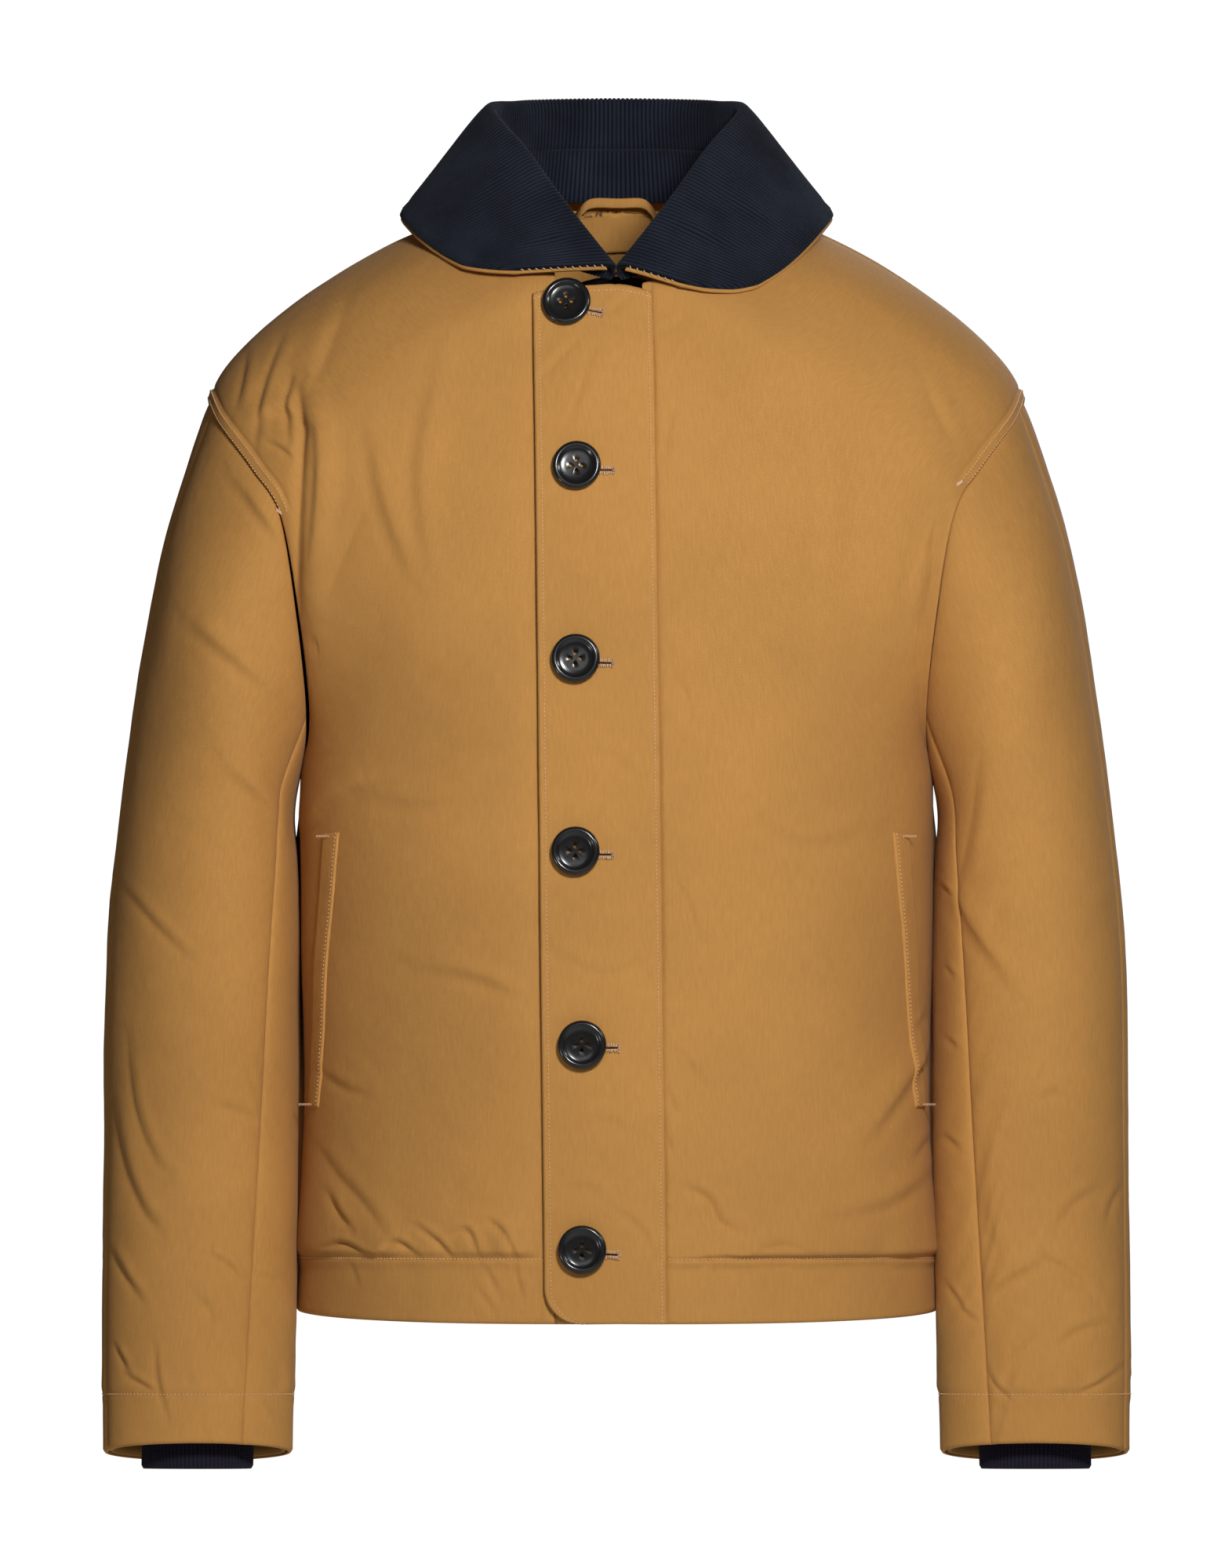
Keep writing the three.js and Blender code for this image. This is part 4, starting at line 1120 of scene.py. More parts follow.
FRONT_CLOTH = {}
for side in SIGN:
    cloth, worn = front_cloth(side)
    FRONT_CLOTH[side] = cloth
    piece = cloth_piece(side + "_front", [cloth], SHELL_CLOTH, TAN_CLOTH, worn=[worn])
    settle(piece, [cloth], [side + "_front_panel"])


# %% [markdown]
# The back is one piece. It is made as two halves whose first columns are merged on the centre line, so
# one description of half a back serves both.

# %% The back in two halves that meet on the centre line
def back_cloth(sign):
    """Half of the back, the rows it was cut at, and where it is worn."""
    cols = int(BACK_WIDTH / (STEP * 1.15))
    rows = graded(lambda s: body_point(BACK, np.full_like(s, 0.5), s), 0, HEM_ROW, STEP * 1.5, HEM_STITCH_Z)
    grid = body_grid(BACK, np.zeros_like(rows), np.ones_like(rows), rows, cols) * [sign, 1, 1]
    top, foot, start, end = to_edges(grid)
    z = grid[..., 2]
    above_hem = smooth(-2, 3, z - HEM_STITCH_Z)
    growth = 0.16 + 0.8 * np.exp(-np.maximum(z - HEM_STITCH_Z, 0) / 38) + 0.55 * np.exp(-end / 42)
    at_edge = np.minimum(end, top) < 4
    hold = np.where(at_edge | (start < 2), 1.0, 0.035) + 0.9 * (1 - above_hem)
    heights = body_heights(grid, BACK_FOLDS, 40)
    heights = buckled("back_sheet", grid, sign, heights, growth * above_hem, hold)
    heights = soft_limits(heights, DEEPEST - 0.6, 9)
    heights = seam_fade(seam_fade(heights, top, 8, SHOULDER_DEPTH), end, 12) + side_swell(end, z)
    side = "left" if sign > 0 else "right"
    heights = np.where((rows < UNDERARM_ROW)[:, None], armhole_band(heights, grid, end, side), heights)
    neck = seam_fade(heights, start, 10)
    heights = neck + (heights - neck) * smooth(NECK_ROW - 0.6, NECK_ROW, rows)[:, None]
    below_neck = smooth(NECK_ROW - 0.1, NECK_ROW + 0.6, rows)[:, None]
    heights = SEAM_DEPTH + (heights - SEAM_DEPTH) * np.maximum(below_neck, rise(start, 8))
    heights = np.maximum(heights, np.where(grid[..., 2] < HEM_STITCH_Z, -0.3, DEEPEST))
    return Cloth(grid, sign, heights - roll_in(foot, NOSE) * 0.8), rows, worn_edges(foot, end)


halves = [back_cloth(sign) for sign in (1, -1)]
BACK_CLOTH = {"left": halves[0][0], "right": halves[1][0]}
piece = cloth_piece("back", [h[0] for h in halves], SHELL_CLOTH, TAN_CLOTH,
                    joined_rows=halves[0][1] >= NECK_ROW, worn=[h[2] for h in halves])
settle(piece, [h[0] for h in halves], ["back_panel"])


# %% [markdown]
# Under the placket the right front goes on as a plain strip, the stand that the buttons are sewn to.

# %% The button stand under the placket
def front_strip(left, right, rows, cols, offset):
    """A strip of the front between two distances from the centre plane, one pair for each row."""
    x = left[:, None] + (right - left)[:, None] * np.linspace(0, 1, cols)
    return front_at(x, np.repeat(rows[:, None], cols, 1), offset)


CENTRE_ROWS = even(lambda s: column(FRONT, 0, s), NECK_ROW, HEM_ROW, 5)
strip = front_strip(np.full_like(CENTRE_ROWS, -STAND_EDGE + 0.4),
                    placket_edge(1, CENTRE_ROWS) - PLACKET_LAP - 0.4, CENTRE_ROWS, 14, 0)
cloth = Cloth(strip, -1, -0.1 + 0.1 * relief(strip[..., 0], strip[..., 2], "small"))
piece = cloth_piece("stand_under_placket", [cloth], SHELL_CLOTH, TAN_CLOTH)
settle(piece, [cloth], ["button_stand"])

# %% [markdown]
# ## Placket
# The placket is two layers with a rounded lower corner. Its nose is rounded, its free edge stands a
# little off the front so that it throws a narrow shadow, and its folds fade out near the buttons. The
# buttonholes are cut through it with a boolean.

# %% Placket sizes and folds
PLACKET_CORNER = 22
PLACKET_TOP_ROWS = ((-52, 2.62), (-30, 2.76), (-12, 2.93), (0, 3.0))  # x, row of its top edge
PLACKET_FACE = 2.8  # outer face of the placket above the shell
PLACKET_CLOTH = 2.4
PLACKET_COLS = 46
PLACKET_NOSE = 1.9
BUTTON_X = (-30, -24, -24.5, -24.5, -20.5, -20.5)
BUTTON_Z = (-48, -148, -266, -384, -503, -629)
BUTTON_LIFT = 4.4
SLIT_LENGTH = 21.5
SLIT_HEIGHT = 1.1
HOLE_DROP = 2.4
HOLE_TILT = (-0.2, -0.02, -0.03, 0.0, 0.02, -0.04)
EYELET_RADIUS = 2.2
PLACKET_FOLDS = [
    (-2.6, 6, [(-17, -60), (-32, -78), (-49, -97)]),
    (-2.0, 7, [(-11, -68), (-22, -98), (-31, -128)]),
    (-2.2, 4, [(11, -37), (0, -49), (-8, -53)]),
    (1.2, 6, [(-10, -52), (12, -60), (24, -76)]),
    (1.0, 8, [(-45, -190), (-20, -215), (12, -206)]),
    (1.0, 8, [(-44, -330), (-10, -318), (18, -335)]),
    (1.2, 7, [(-40, -440), (-8, -455), (22, -444)]),
    (1.3, 7, [(-38, -560), (-10, -545), (22, -556)]),
    (1.6, 6, [(0, -600), (16, -612), (28, -632)]),
    (1.2, 7, [(-40, -596), (-24, -586), (-4, -592)]),
]
print("buttons and strokes on the placket:", len(BUTTON_X), len(PLACKET_FOLDS))


# %% Placket cloth
def row_at(x, z):
    """The row of the front that reaches a height z at a distance x."""
    s = np.linspace(NECK_ROW, HEM_ROW, 900)
    return float(np.interp(-z, -front_at(np.full_like(s, x), s, 0)[:, 2], s))


def placket_cloth():
    rows = even(lambda s: column(FRONT, 0, s), NECK_ROW, HEM_ROW, 1.7)
    left, right = placket_edge(0, rows), placket_edge(1, rows)
    foot = front_at(left, rows, 0)[:, 2]
    reach = np.maximum(PLACKET_CORNER - (foot - foot[-1]), 0)
    left = left + PLACKET_CORNER - np.sqrt(PLACKET_CORNER**2 - reach**2)
    x = left[:, None] + (right - left)[:, None] * np.linspace(0, 1, PLACKET_COLS)
    top_row = np.interp(x[0], *np.array(PLACKET_TOP_ROWS).T)
    share = (rows - NECK_ROW) / (HEM_ROW - NECK_ROW)
    fade = np.exp(-share * 9)[:, None]
    s = np.repeat(rows[:, None], PLACKET_COLS, 1) + (top_row - NECK_ROW) * (fade - fade[-1])
    grid = front_at(x, s, PLACKET_FACE)
    x, z = grid[..., 0], grid[..., 2]
    top, bottom, start, end = to_edges(grid)
    button_gap = np.min([np.hypot(x - bx, z - bz) for bx, bz in zip(BUTTON_X, BUTTON_Z)], axis=0)
    free = smooth(14, 30, button_gap)
    heights = 0.35 * relief(x, z, "broad") + 0.22 * relief(x, z, "small") + 0.07 * relief(x, z, "crumple")
    heights += 0.5 * stroke_heights(x, z, PLACKET_FOLDS)
    heights = heights * (0.3 + 0.7 * free) + 0.5 * free + 1.0 * np.exp(-start / 8)
    heights = np.clip(heights, -1.0, 0.9 + 1.6 * free)
    heights -= 0.45 * np.exp(-((start - 4) / 0.8) ** 2) + 0.45 * np.exp(-((end - 3.2) / 0.8) ** 2)
    heights -= 0.6 * sum(roll_in(edge, PLACKET_NOSE) for edge in (start, bottom, end, top))
    return Cloth(grid, -1, heights), worn_edges(start, bottom)


PLACKET, placket_worn = placket_cloth()
placket = cloth_piece("placket", [PLACKET], PLACKET_CLOTH, TAN_CLOTH, worn=[placket_worn])


# %% [markdown]
# A keyhole buttonhole is a slit with a round eye at its button end. The slit is a thin box and the eye a
# cylinder, both turned to face out of the cloth at their button, and both are cut through the placket.

# %% Frames on the front at each button, and the buttonhole cutters
def button_frame(i, offset):
    """A button's centre and its right, up and outward directions."""
    s = row_at(BUTTON_X[i], BUTTON_Z[i])
    at = front_at(np.array([BUTTON_X[i]]), np.array([s]), offset)[0]
    out = front_at(np.array([BUTTON_X[i]]), np.array([s]), offset + 1)[0] - at
    out = Vector(out).normalized()
    turn = Vector((0, -1, 0)).rotation_difference(out)
    return Vector(at) * MM, turn @ Vector((1, 0, 0)), turn @ Vector((0, 0, 1)), out, turn


def hole_frame(i, offset):
    """The buttonhole's button end and directions: it sits a little low and tips down at the collar."""
    at, right, up, out, turn = button_frame(i, offset)
    tip = Quaternion(out, HOLE_TILT[i])
    return at - up * HOLE_DROP * MM, tip @ right, tip @ up, out, tip @ turn


SLIT_DEEP, EYELET_DEEP = 24, 22  # both go right through the placket
cutters = []
for i in range(len(BUTTON_X)):
    at, right, up, out, turn = hole_frame(i, 0)
    deselect()
    bpy.ops.mesh.primitive_cube_add(size=1, location=at + right * SLIT_LENGTH / 2 * MM)
    slit = bpy.context.object
    slit.dimensions = (SLIT_LENGTH * MM, SLIT_DEEP * MM, SLIT_HEIGHT * MM)
    slit.rotation_euler = turn.to_euler()
    bpy.ops.mesh.primitive_cylinder_add(vertices=16, radius=EYELET_RADIUS * MM, depth=EYELET_DEEP * MM,
                                        location=at, rotation=out.to_track_quat("Z", "Y").to_euler())
    cutters += [slit, bpy.context.object]


def cut(piece, tools, operation="DIFFERENCE"):
    """Cut a piece with tools, and take the tools away."""
    for tool in tools:
        modifier = piece.modifiers.new("cut", "BOOLEAN")
        modifier.operation = operation
        modifier.solver = "EXACT"
        modifier.object = tool
        select_only(piece)
        bpy.ops.object.modifier_apply(modifier=modifier.name)
        bpy.data.objects.remove(tool)


cut(placket, cutters)
settle(placket, [PLACKET], ["front_placket"])

# %% [markdown]
# ## Sleeves
# A sleeve is two panels set into the armhole. The seam down its front pulls short wrinkles into the
# cloth on both sides. For each piece the span over the first few centimetres past the armhole, where it
# would blend from the body to the sleeve, is worked out, but nothing bends it: the piece stays as made.

# %% Seams and bend of a sleeve
OUTER_SEAM = 0.04  # share of a turn from the armhole's top
FRONT_SEAM = (0.42, 0.33)  # at the armhole and at the cuff
SLEEVE_COLS = {"front": 84, "back": 104}
ARMHOLE_CENTRE = np.array([222, 0, -218])
ARM_DIRECTION = np.array([0.958, -0.159, -0.24])
BEND_REACH = (2, 50)


def sleeve_bend(side):
    """The blend of a piece that crosses the armhole."""
    sign = np.array([SIGN[side], 1, 1])
    start, end = ((ARMHOLE_CENTRE + ARM_DIRECTION * d) * sign * MM for d in BEND_REACH)
    return "jacket_body", side + "_sleeve", start.tolist(), end.tolist()


def front_seam(r):
    """Place round the sleeve of the seam down its front."""
    return FRONT_SEAM[0] + (FRONT_SEAM[1] - FRONT_SEAM[0]) * r / CUFF_RING


def sleeve_grid(side, first, last, rows, cols, offset=0.0, tube=False):
    share = np.linspace(0, 1, cols + 1)[:-1] if tube else across(cols)
    t = first[:, None] + (last - first)[:, None] * share
    grid = sleeve_offset(t, np.repeat(rows[:, None], cols, 1), offset)
    return grid * [SIGN[side], 1, 1], t


def along_seam_wrinkles(d, run, depth, reach, seed):
    """Short wrinkles that run away from a seam, at a distance d from it and run along it."""
    wave = np.sin(run / 5.1 + 2.2 * np.sin(run / 23 + seed)) + 0.7 * np.sin(run / 8.7 + seed)
    return depth * wave * np.exp(-d / reach) * (1 - np.exp(-d / 3))


# %% The four sleeve panels
SLEEVE_ROWS = graded(lambda r: sleeve_point(np.full_like(r, 0.25), r), 0, CUFF_RING, STEP, CUFF_STITCH_Z)


def sleeve_cloth(side, part):
    """The front or back panel of a sleeve, and where it is worn."""
    seam = front_seam(SLEEVE_ROWS)
    outer = np.full_like(seam, OUTER_SEAM)
    edges = {"front": (outer, seam), "back": (seam, 1 + outer)}
    grid, t = sleeve_grid(side, *edges[part], SLEEVE_ROWS, SLEEVE_COLS[part])
    top, foot, start, end = to_edges(grid)
    heights = sleeve_heights(grid, t, SLEEVE_FOLDS[side], 11 if side == "left" else 71)
    by_front, by_outer = (end, start) if part == "front" else (start, end)
    low = smooth(150, 300, top)
    heights += along_seam_wrinkles(by_front, top, 0.8 * low, 16, 3 + SIGN[side])
    z = grid[..., 2]
    above_cuff = smooth(-2, 3, z - CUFF_STITCH_Z)
    growth = 0.25 + 0.75 * np.exp(-np.maximum(z - CUFF_STITCH_Z, 0) / 60)
    growth += 0.5 * np.exp(-by_front / 30) * low + 0.4 * np.exp(-top / 60)
    at_edge = np.minimum(np.minimum(start, end), top) < 4
    hold = np.where(at_edge, 1.0, 0.03) + 0.9 * (1 - above_cuff)
    heights = buckled(side + part, grid, SIGN[side], heights, growth * above_cuff, hold)
    heights = soft_limits(heights, DEEPEST - 0.6, 9)
    heights = seam_fade(seam_fade(heights, by_front, 4.5), by_outer, 5)
    heights = seam_fade(heights, top, 9)
    heights -= roll_in(foot, NOSE) * 0.8
    return Cloth(grid, SIGN[side], heights), worn_edges(foot, 1.5 * by_front)


SLEEVE_CLOTH = {}
for side in SIGN:
    for part in ("front", "back"):
        cloth, worn = sleeve_cloth(side, part)
        SLEEVE_CLOTH[side, part] = cloth
        piece = cloth_piece(f"{side}_sleeve_{part}_cloth", [cloth], SHELL_CLOTH, TAN_CLOTH, worn=[worn])
        settle(piece, [cloth], [f"{side}_sleeve_{part}"], bend=sleeve_bend(side))

# %% [markdown]
# ## Linings, facings and pocket bags
# The inside is plainer cloth: body and sleeve linings, the turned-up hems, the pocket bags between
# shell and lining, and the gathered strip across the back neck. They need fewer points, because their
# creases are broad.

# %% Inside layers of the body
HEM_START = HEM_ROW - 38 / 130
LINING_START = 62  # distance of the front lining's edge from the centre plane
LINING_COLS, HEM_COLS = 30, 90
LINING_CLOTH_THICK = 1.8
LINING_FACE = -6.7
HEM_FACE = -2.0
NECK_FACE = -3.4


def rows_down(first, last, step):
    """Rows of the front that lie a step apart along the line of the pockets."""
    return even(lambda s: body_point(FRONT, np.full_like(s, 0.7), s), first, last, step)


def inner_cloth(panel, sign, first, last, rows, cols, face, relief_size, seed=0, tidy_edges=True):
    """An inside layer cut from the body surface, with broad creases that fade at its edges."""
    grid = body_grid(panel, first, last, rows, cols, face) * [sign, 1, 1]
    heights = relief_size * (relief(grid[..., 0] + seed, grid[..., 2], "broad") * 0.5
                             + relief(grid[..., 0], grid[..., 2] + seed, "small") * 0.5)
    if tidy_edges:
        heights = heights * rise(np.min(to_edges(grid), axis=0), 10)
    return Cloth(grid, panel["outward"] * sign, heights)


lining_rows = rows_down(0.35, HEM_START - 0.03, COARSE)
hem_rows = rows_down(HEM_START, HEM_ROW - 0.01, 4)
lining_end, hem_end = np.full_like(lining_rows, 0.985), np.full_like(hem_rows, 0.996)
for side, sign in SIGN.items():
    lining_start = share_at(FRONT, np.full_like(lining_rows, LINING_START), lining_rows)
    cloth = inner_cloth(FRONT, sign, lining_start, lining_end, lining_rows, LINING_COLS, LINING_FACE, 0.5, 9)
    piece = cloth_piece(side + "_front_inner", [cloth], LINING_CLOTH_THICK, SHADE_BLACK_LINING)
    settle(piece, [cloth], [side + "_front_lining"])
    start = front_start(side, hem_rows)
    cloth = inner_cloth(FRONT, sign, start, hem_end, hem_rows, HEM_COLS, HEM_FACE, 0.0)
    piece = cloth_piece(side + "_hem_turned_up", [cloth], SHELL_CLOTH, SHADED_TURNED_TAN)
    settle(piece, [cloth], [side + "_hem_facing"])

# %% Inside layers of the back
neck_gap = np.where(lining_rows < NECK_ROW + 0.5, 0.36, 0.0)
cloths = [inner_cloth(BACK, sign, neck_gap, lining_end, lining_rows, LINING_COLS, LINING_FACE, 0.5, 30, False)
          for sign in (1, -1)]
piece = cloth_piece("back_inner", cloths, LINING_CLOTH_THICK, SHADE_BLACK_LINING, joined_rows=neck_gap == 0)
settle(piece, cloths, ["back_lining"])
cloths = [inner_cloth(BACK, sign, 0 * hem_rows, hem_end, hem_rows, HEM_COLS, HEM_FACE, 0.0)
          for sign in (1, -1)]
piece = cloth_piece("back_hem_turned_up", cloths, SHELL_CLOTH, SHADED_TURNED_TAN, joined_rows=hem_rows > 0)
settle(piece, cloths, ["back_hem_facing"])


# %% [markdown]
# Across the back of the neck, under the hanger loop, a strip of shell cloth is gathered into many
# small upright pleats.

# %% The gathered strip across the back neck
def neck_strip(sign):
    """Half of the gathered strip."""
    rows = even(lambda s: body_point(BACK, np.full_like(s, 0.15), s), 1.05, 3.35, 1.6)
    grid = body_grid(BACK, 0 * rows, np.full_like(rows, 0.3), rows, 56, NECK_FACE) * [sign, 1, 1]
    x, z = grid[..., 0], grid[..., 2]
    gathers = 1.2 * relief(x * 2.0, z * 0.4, "small") + 0.7 * relief(x * 3.4, z * 0.8 + 20, "small")
    gathers = (gathers - 0.8) * smooth(0, 6, to_edges(grid)[0]) + 0.2 * relief(x, z, "crumple")
    return Cloth(grid, sign, soft_limits(gathers, -3.4, 1.2))


cloths = [neck_strip(sign) for sign in (1, -1)]
joined = np.abs(cloths[0].flat[:, 0, 0]) < 1e-6
piece = cloth_piece("neck_strip_gathered", cloths, SHELL_CLOTH, TAN_CLOTH, joined_rows=joined)
settle(piece, cloths, ["back_neck_facing"])

# %% [markdown]
# A welt is a narrow folded strip that covers a slanted pocket mouth. It lies on the front, so it takes
# the front's own folds, and its edges roll in towards the cloth. The bag hangs between shell and lining.

# %% Pocket bags and welts
POCKET_ROWS = (6.47, 7.98)
BAG_FOOT_ROW = 8.15
WELT_SHARE = (0.7, 0.82)
WELT_HALF = 0.034
WELT_FACE = 2.2
WELT_CLOTH_THICK = 1.8
WELT_NOSE = 1.6
BAG_FACE = -3.2
BAG_CLOTH = 1.2


def welt_share(s):
    """Share across the front of a welt's middle line."""
    (top, foot), (first, last) = POCKET_ROWS, WELT_SHARE
    return first + (last - first) * (s - top) / (foot - top)


WELTS = {}
for side, sign in SIGN.items():
    rows = rows_down(POCKET_ROWS[0], BAG_FOOT_ROW, COARSE)
    cloth = inner_cloth(FRONT, sign, np.full_like(rows, 0.38), welt_share(rows), rows, 16, BAG_FACE, 0.0)
    piece = cloth_piece(side + "_pocket_sack", [cloth], BAG_CLOTH, SHADE_BLACK_LINING)
    settle(piece, [cloth], [side + "_pocket_bag"])
    rows = rows_down(*POCKET_ROWS, 1.7)
    middle = welt_share(rows)
    grid = body_grid(FRONT, middle - WELT_HALF, middle + WELT_HALF, rows, 14) * [sign, 1, 1]
    top, foot, start, end = to_edges(grid)
    heights = np.maximum(body_heights(grid, FRONT_FOLDS, 0), DEEPEST) + WELT_FACE - 0.7
    heights -= 0.5 * np.exp(-((start - 2.6) / 0.7) ** 2)
    for edge, share in ((start, 0.9), (end, 0.7), (top, 0.8), (foot, 0.8)):
        heights -= share * roll_in(edge, WELT_NOSE)
    WELTS[side] = Cloth(grid, -sign, heights)
    worn = [worn_edges(start, end)]
    piece = cloth_piece(side + "_welt", [WELTS[side]], WELT_CLOTH_THICK, TAN_CLOTH, worn=worn)
    settle(piece, [WELTS[side]], [side + "_pocket_welt"])

# %% [markdown]
# Each sleeve has a lining painted black as shade. It stops above the cuff, and the shell is turned up inside
# it.

# %% Inside layers of the sleeves
CUFF_FACE = -3.8
for side, sign in SIGN.items():
    rows = even(lambda r: sleeve_point(np.full_like(r, 0.25), r), 0.5, CUFF_RING - 0.45, COARSE)
    grid, t = sleeve_grid(side, 0 * rows, 0 * rows + 1, rows, 40, LINING_FACE + 0.2, tube=True)
    cloth = Cloth(grid, sign, 0.4 * relief(grid[..., 0] + grid[..., 1], grid[..., 2], "small"), tube=True)
    piece = cloth_piece(side + "_sleeve_inner", [cloth], LINING_CLOTH_THICK, SHADE_BLACK_LINING)
    settle(piece, [cloth], [side + "_sleeve_lining"], bend=sleeve_bend(side))
    rows = np.linspace(CUFF_RING - 0.4, CUFF_RING - 0.01, 10)
    grid, t = sleeve_grid(side, 0 * rows, 0 * rows + 1, rows, 120, CUFF_FACE, tube=True)
    cloth = Cloth(grid, sign, tube=True)
    piece = cloth_piece(side + "_cuff_turned_up", [cloth], SHELL_CLOTH, SHADED_TURNED_TAN)
    settle(piece, [cloth], [side + "_cuff_facing"], body=side + "_sleeve")

# %% [markdown]
# The knitted cuff is a tube of upright ribs, a little waisted by the wrist. The rounded ribs are in the
# mesh, and the finish paints shade into their hollows and a highlight on their crests.

# %% Knitted cuffs
RIB_CENTRE = (258, -42)
RIB_HALF = (34.5, 23)
RIB_Z = (-765, -702)
RIBS = 84
RIB_POINTS = 6
RIB_CLOTH = 1.9
for side, sign in SIGN.items():
    turn = np.arange(RIBS * RIB_POINTS) / (RIBS * RIB_POINTS) * 2 * np.pi
    levels = np.linspace(RIB_Z[1], RIB_Z[0], 30)[:, None]
    rib = np.abs(np.sin(turn * RIBS / 2)) ** 0.7
    foot = roll_in(levels - RIB_Z[0], 2.0) * 0.9
    sway = 0.5 * np.sin(3 * turn + levels * 0.05) * smooth(0, 40, -705 - levels)
    wall = 0.45 * (rib - 1) - foot - sway
    ring = np.stack([np.cos(turn) * (RIB_HALF[0] + wall), -np.sin(turn) * (RIB_HALF[1] + wall),
                     np.broadcast_to(levels, wall.shape)], -1)
    ring = (ring + [*RIB_CENTRE, 0]) * [sign, 1, 1]
    cloth = Cloth(ring, sign, tube=True)
    piece = cloth_piece(side + "_knit_cuff", [cloth], RIB_CLOTH, RIB_KNIT, wales=[rib])
    settle(piece, [cloth], [side + "_rib_cuff"], body=side + "_rib_cuff")

# %% [markdown]
# ## Corduroy collar
# Corduroy is ribbed velvet. Its wales run from the neck seam over the roll to the outer edge, about
# three millimetres apart, so they are modelled as real ridges. The tan under collar shows as a thin
# edge at the front, whipped to the corduroy with pale thread.

# %% Collar grids
WALE = 3.0  # from one ridge to the next at the roll
WALE_POINTS = 6
WALE_HEIGHT = 0.85
STAND_TOP = 0.44  # how far up the stand the band goes
CORDUROY_CLOTH = 2.3
CORDUROY_FACE = 2.5  # outer face of the corduroy above the collar's middle surface
COLLAR_DEPTH = 85  # along the cloth, from the seam over the roll to the rim
COLLAR_CORNER = {"left": 27, "right": 20}
EDGE_SHOWS = 1.4  # how much of the under collar is seen past the corduroy
COLLAR_FOLDS = {
    "left": [(2.4, 7, [(30, 8), (54, -3), (76, -10)]), (1.6, 9, [(62, 30), (84, 12), (104, 2)]),
             (1.4, 8, [(58, -22), (72, -28), (84, -40)])],
    "right": [(2.2, 6, [(-66, -14), (-38, -5), (-14, -10)]), (1.6, 9, [(-66, 44), (-84, 22), (-98, 4)]),
              (1.2, 8, [(-100, -2), (-84, -12), (-70, -20)])],
}


def wale_places(edge):
    """Stations along the collar, some on each wale, and how far into its wale each one is."""
    k = np.linspace(0, COLLAR_END, 1500)
    run = lengths(collar_point(edge, k, np.full_like(k, 1.3))[:, None], 0)[:, 0]
    wales = round(run[-1] / WALE)
    along = np.linspace(0, run[-1], wales * WALE_POINTS + 1)
    return np.interp(along, run, k), np.abs(np.sin(np.pi * along / run[-1] * wales)) ** 0.7


def collar_reach(edge, side, k, inset):
    """How far down the fall the cloth goes at each station, with a rounded front corner."""
    rim = collar_point(edge, k, np.full_like(k, 2.0))
    run = lengths(rim[:, None], 0)[:, 0]
    left_over = run[-1] - run
    radius = COLLAR_CORNER[side]
    d = np.clip(radius - left_over, 0, radius)
    cut_off = radius - np.sqrt(radius**2 - d**2) + inset
    leaf = np.linalg.norm(rim - collar_point(edge, k, np.ones_like(k)), axis=-1)
    return 2 - cut_off / leaf


def collar_cloth(side, first, step, offset, wales_high, inset, k, last=None, folds=True):
    """Collar cloth from a share first down to its rim, or to a share last, and its edge distances."""
    edge, sign = COLLAR_EDGE[side], SIGN[side]
    reach = collar_reach(edge, side, k, inset) if last is None else np.full_like(k, last)
    rows = max(int((reach[0] - first) * COLLAR_DEPTH / step), 6)
    share = np.linspace(0, 1, rows)[:, None]
    w = first + (reach - first) * share
    grid = collar_offset(edge, np.broadcast_to(k, w.shape), w, offset) * [sign, 1, 1]
    top, foot, start, end = to_edges(grid)
    heights = wales_high * np.ones_like(w)
    if folds:
        on_fall = smooth(1.1, 1.4, w)
        heights += on_fall * (0.7 * stroke_heights(grid[..., 0], grid[..., 2], COLLAR_FOLDS[side])
                              + 0.5 * relief(grid[..., 0], grid[..., 2] + grid[..., 1], "broad"))
        groove = np.exp(-((foot - 9.5) / 1.3) ** 2) * smooth(2, 4.4, COLLAR_END - k + 1.2)
        heights -= 0.9 * groove * on_fall
    return Cloth(grid, sign, heights), (top, foot, start, end)


# %% [markdown]
# The collar points lift about the roll line. The span between two distances from the roll, where a
# piece would bend from the body to the point, is worked out, but nothing bends it: the piece stays as made.

# %% Corduroy and under collar
LIFT_CENTRE = np.array([58, -36, 48])
LIFT_DIRECTION = np.array([1.0, -0.862, 0.2]) / np.linalg.norm([1.0, -0.862, 0.2])
LIFT_REACH = (12, 40)
UNDER_CLOTH_THICK = 1.7
CORDUROY_NODES = {"left": ["collar_inner_face", "left_collar_wing"],
                  "right": ["collar_fall_back", "right_collar_wing"]}
UNDER_NODES = {"left": ["under_collar_back", "left_under_collar"], "right": ["right_under_collar"]}


def lift_bend(side):
    """The blend of a piece that crosses the roll line."""
    sign = np.array([SIGN[side], 1, 1])
    start, end = ((LIFT_CENTRE + LIFT_DIRECTION * d) * sign * MM for d in LIFT_REACH)
    return "jacket_body", side + "_collar_point", start.tolist(), end.tolist()


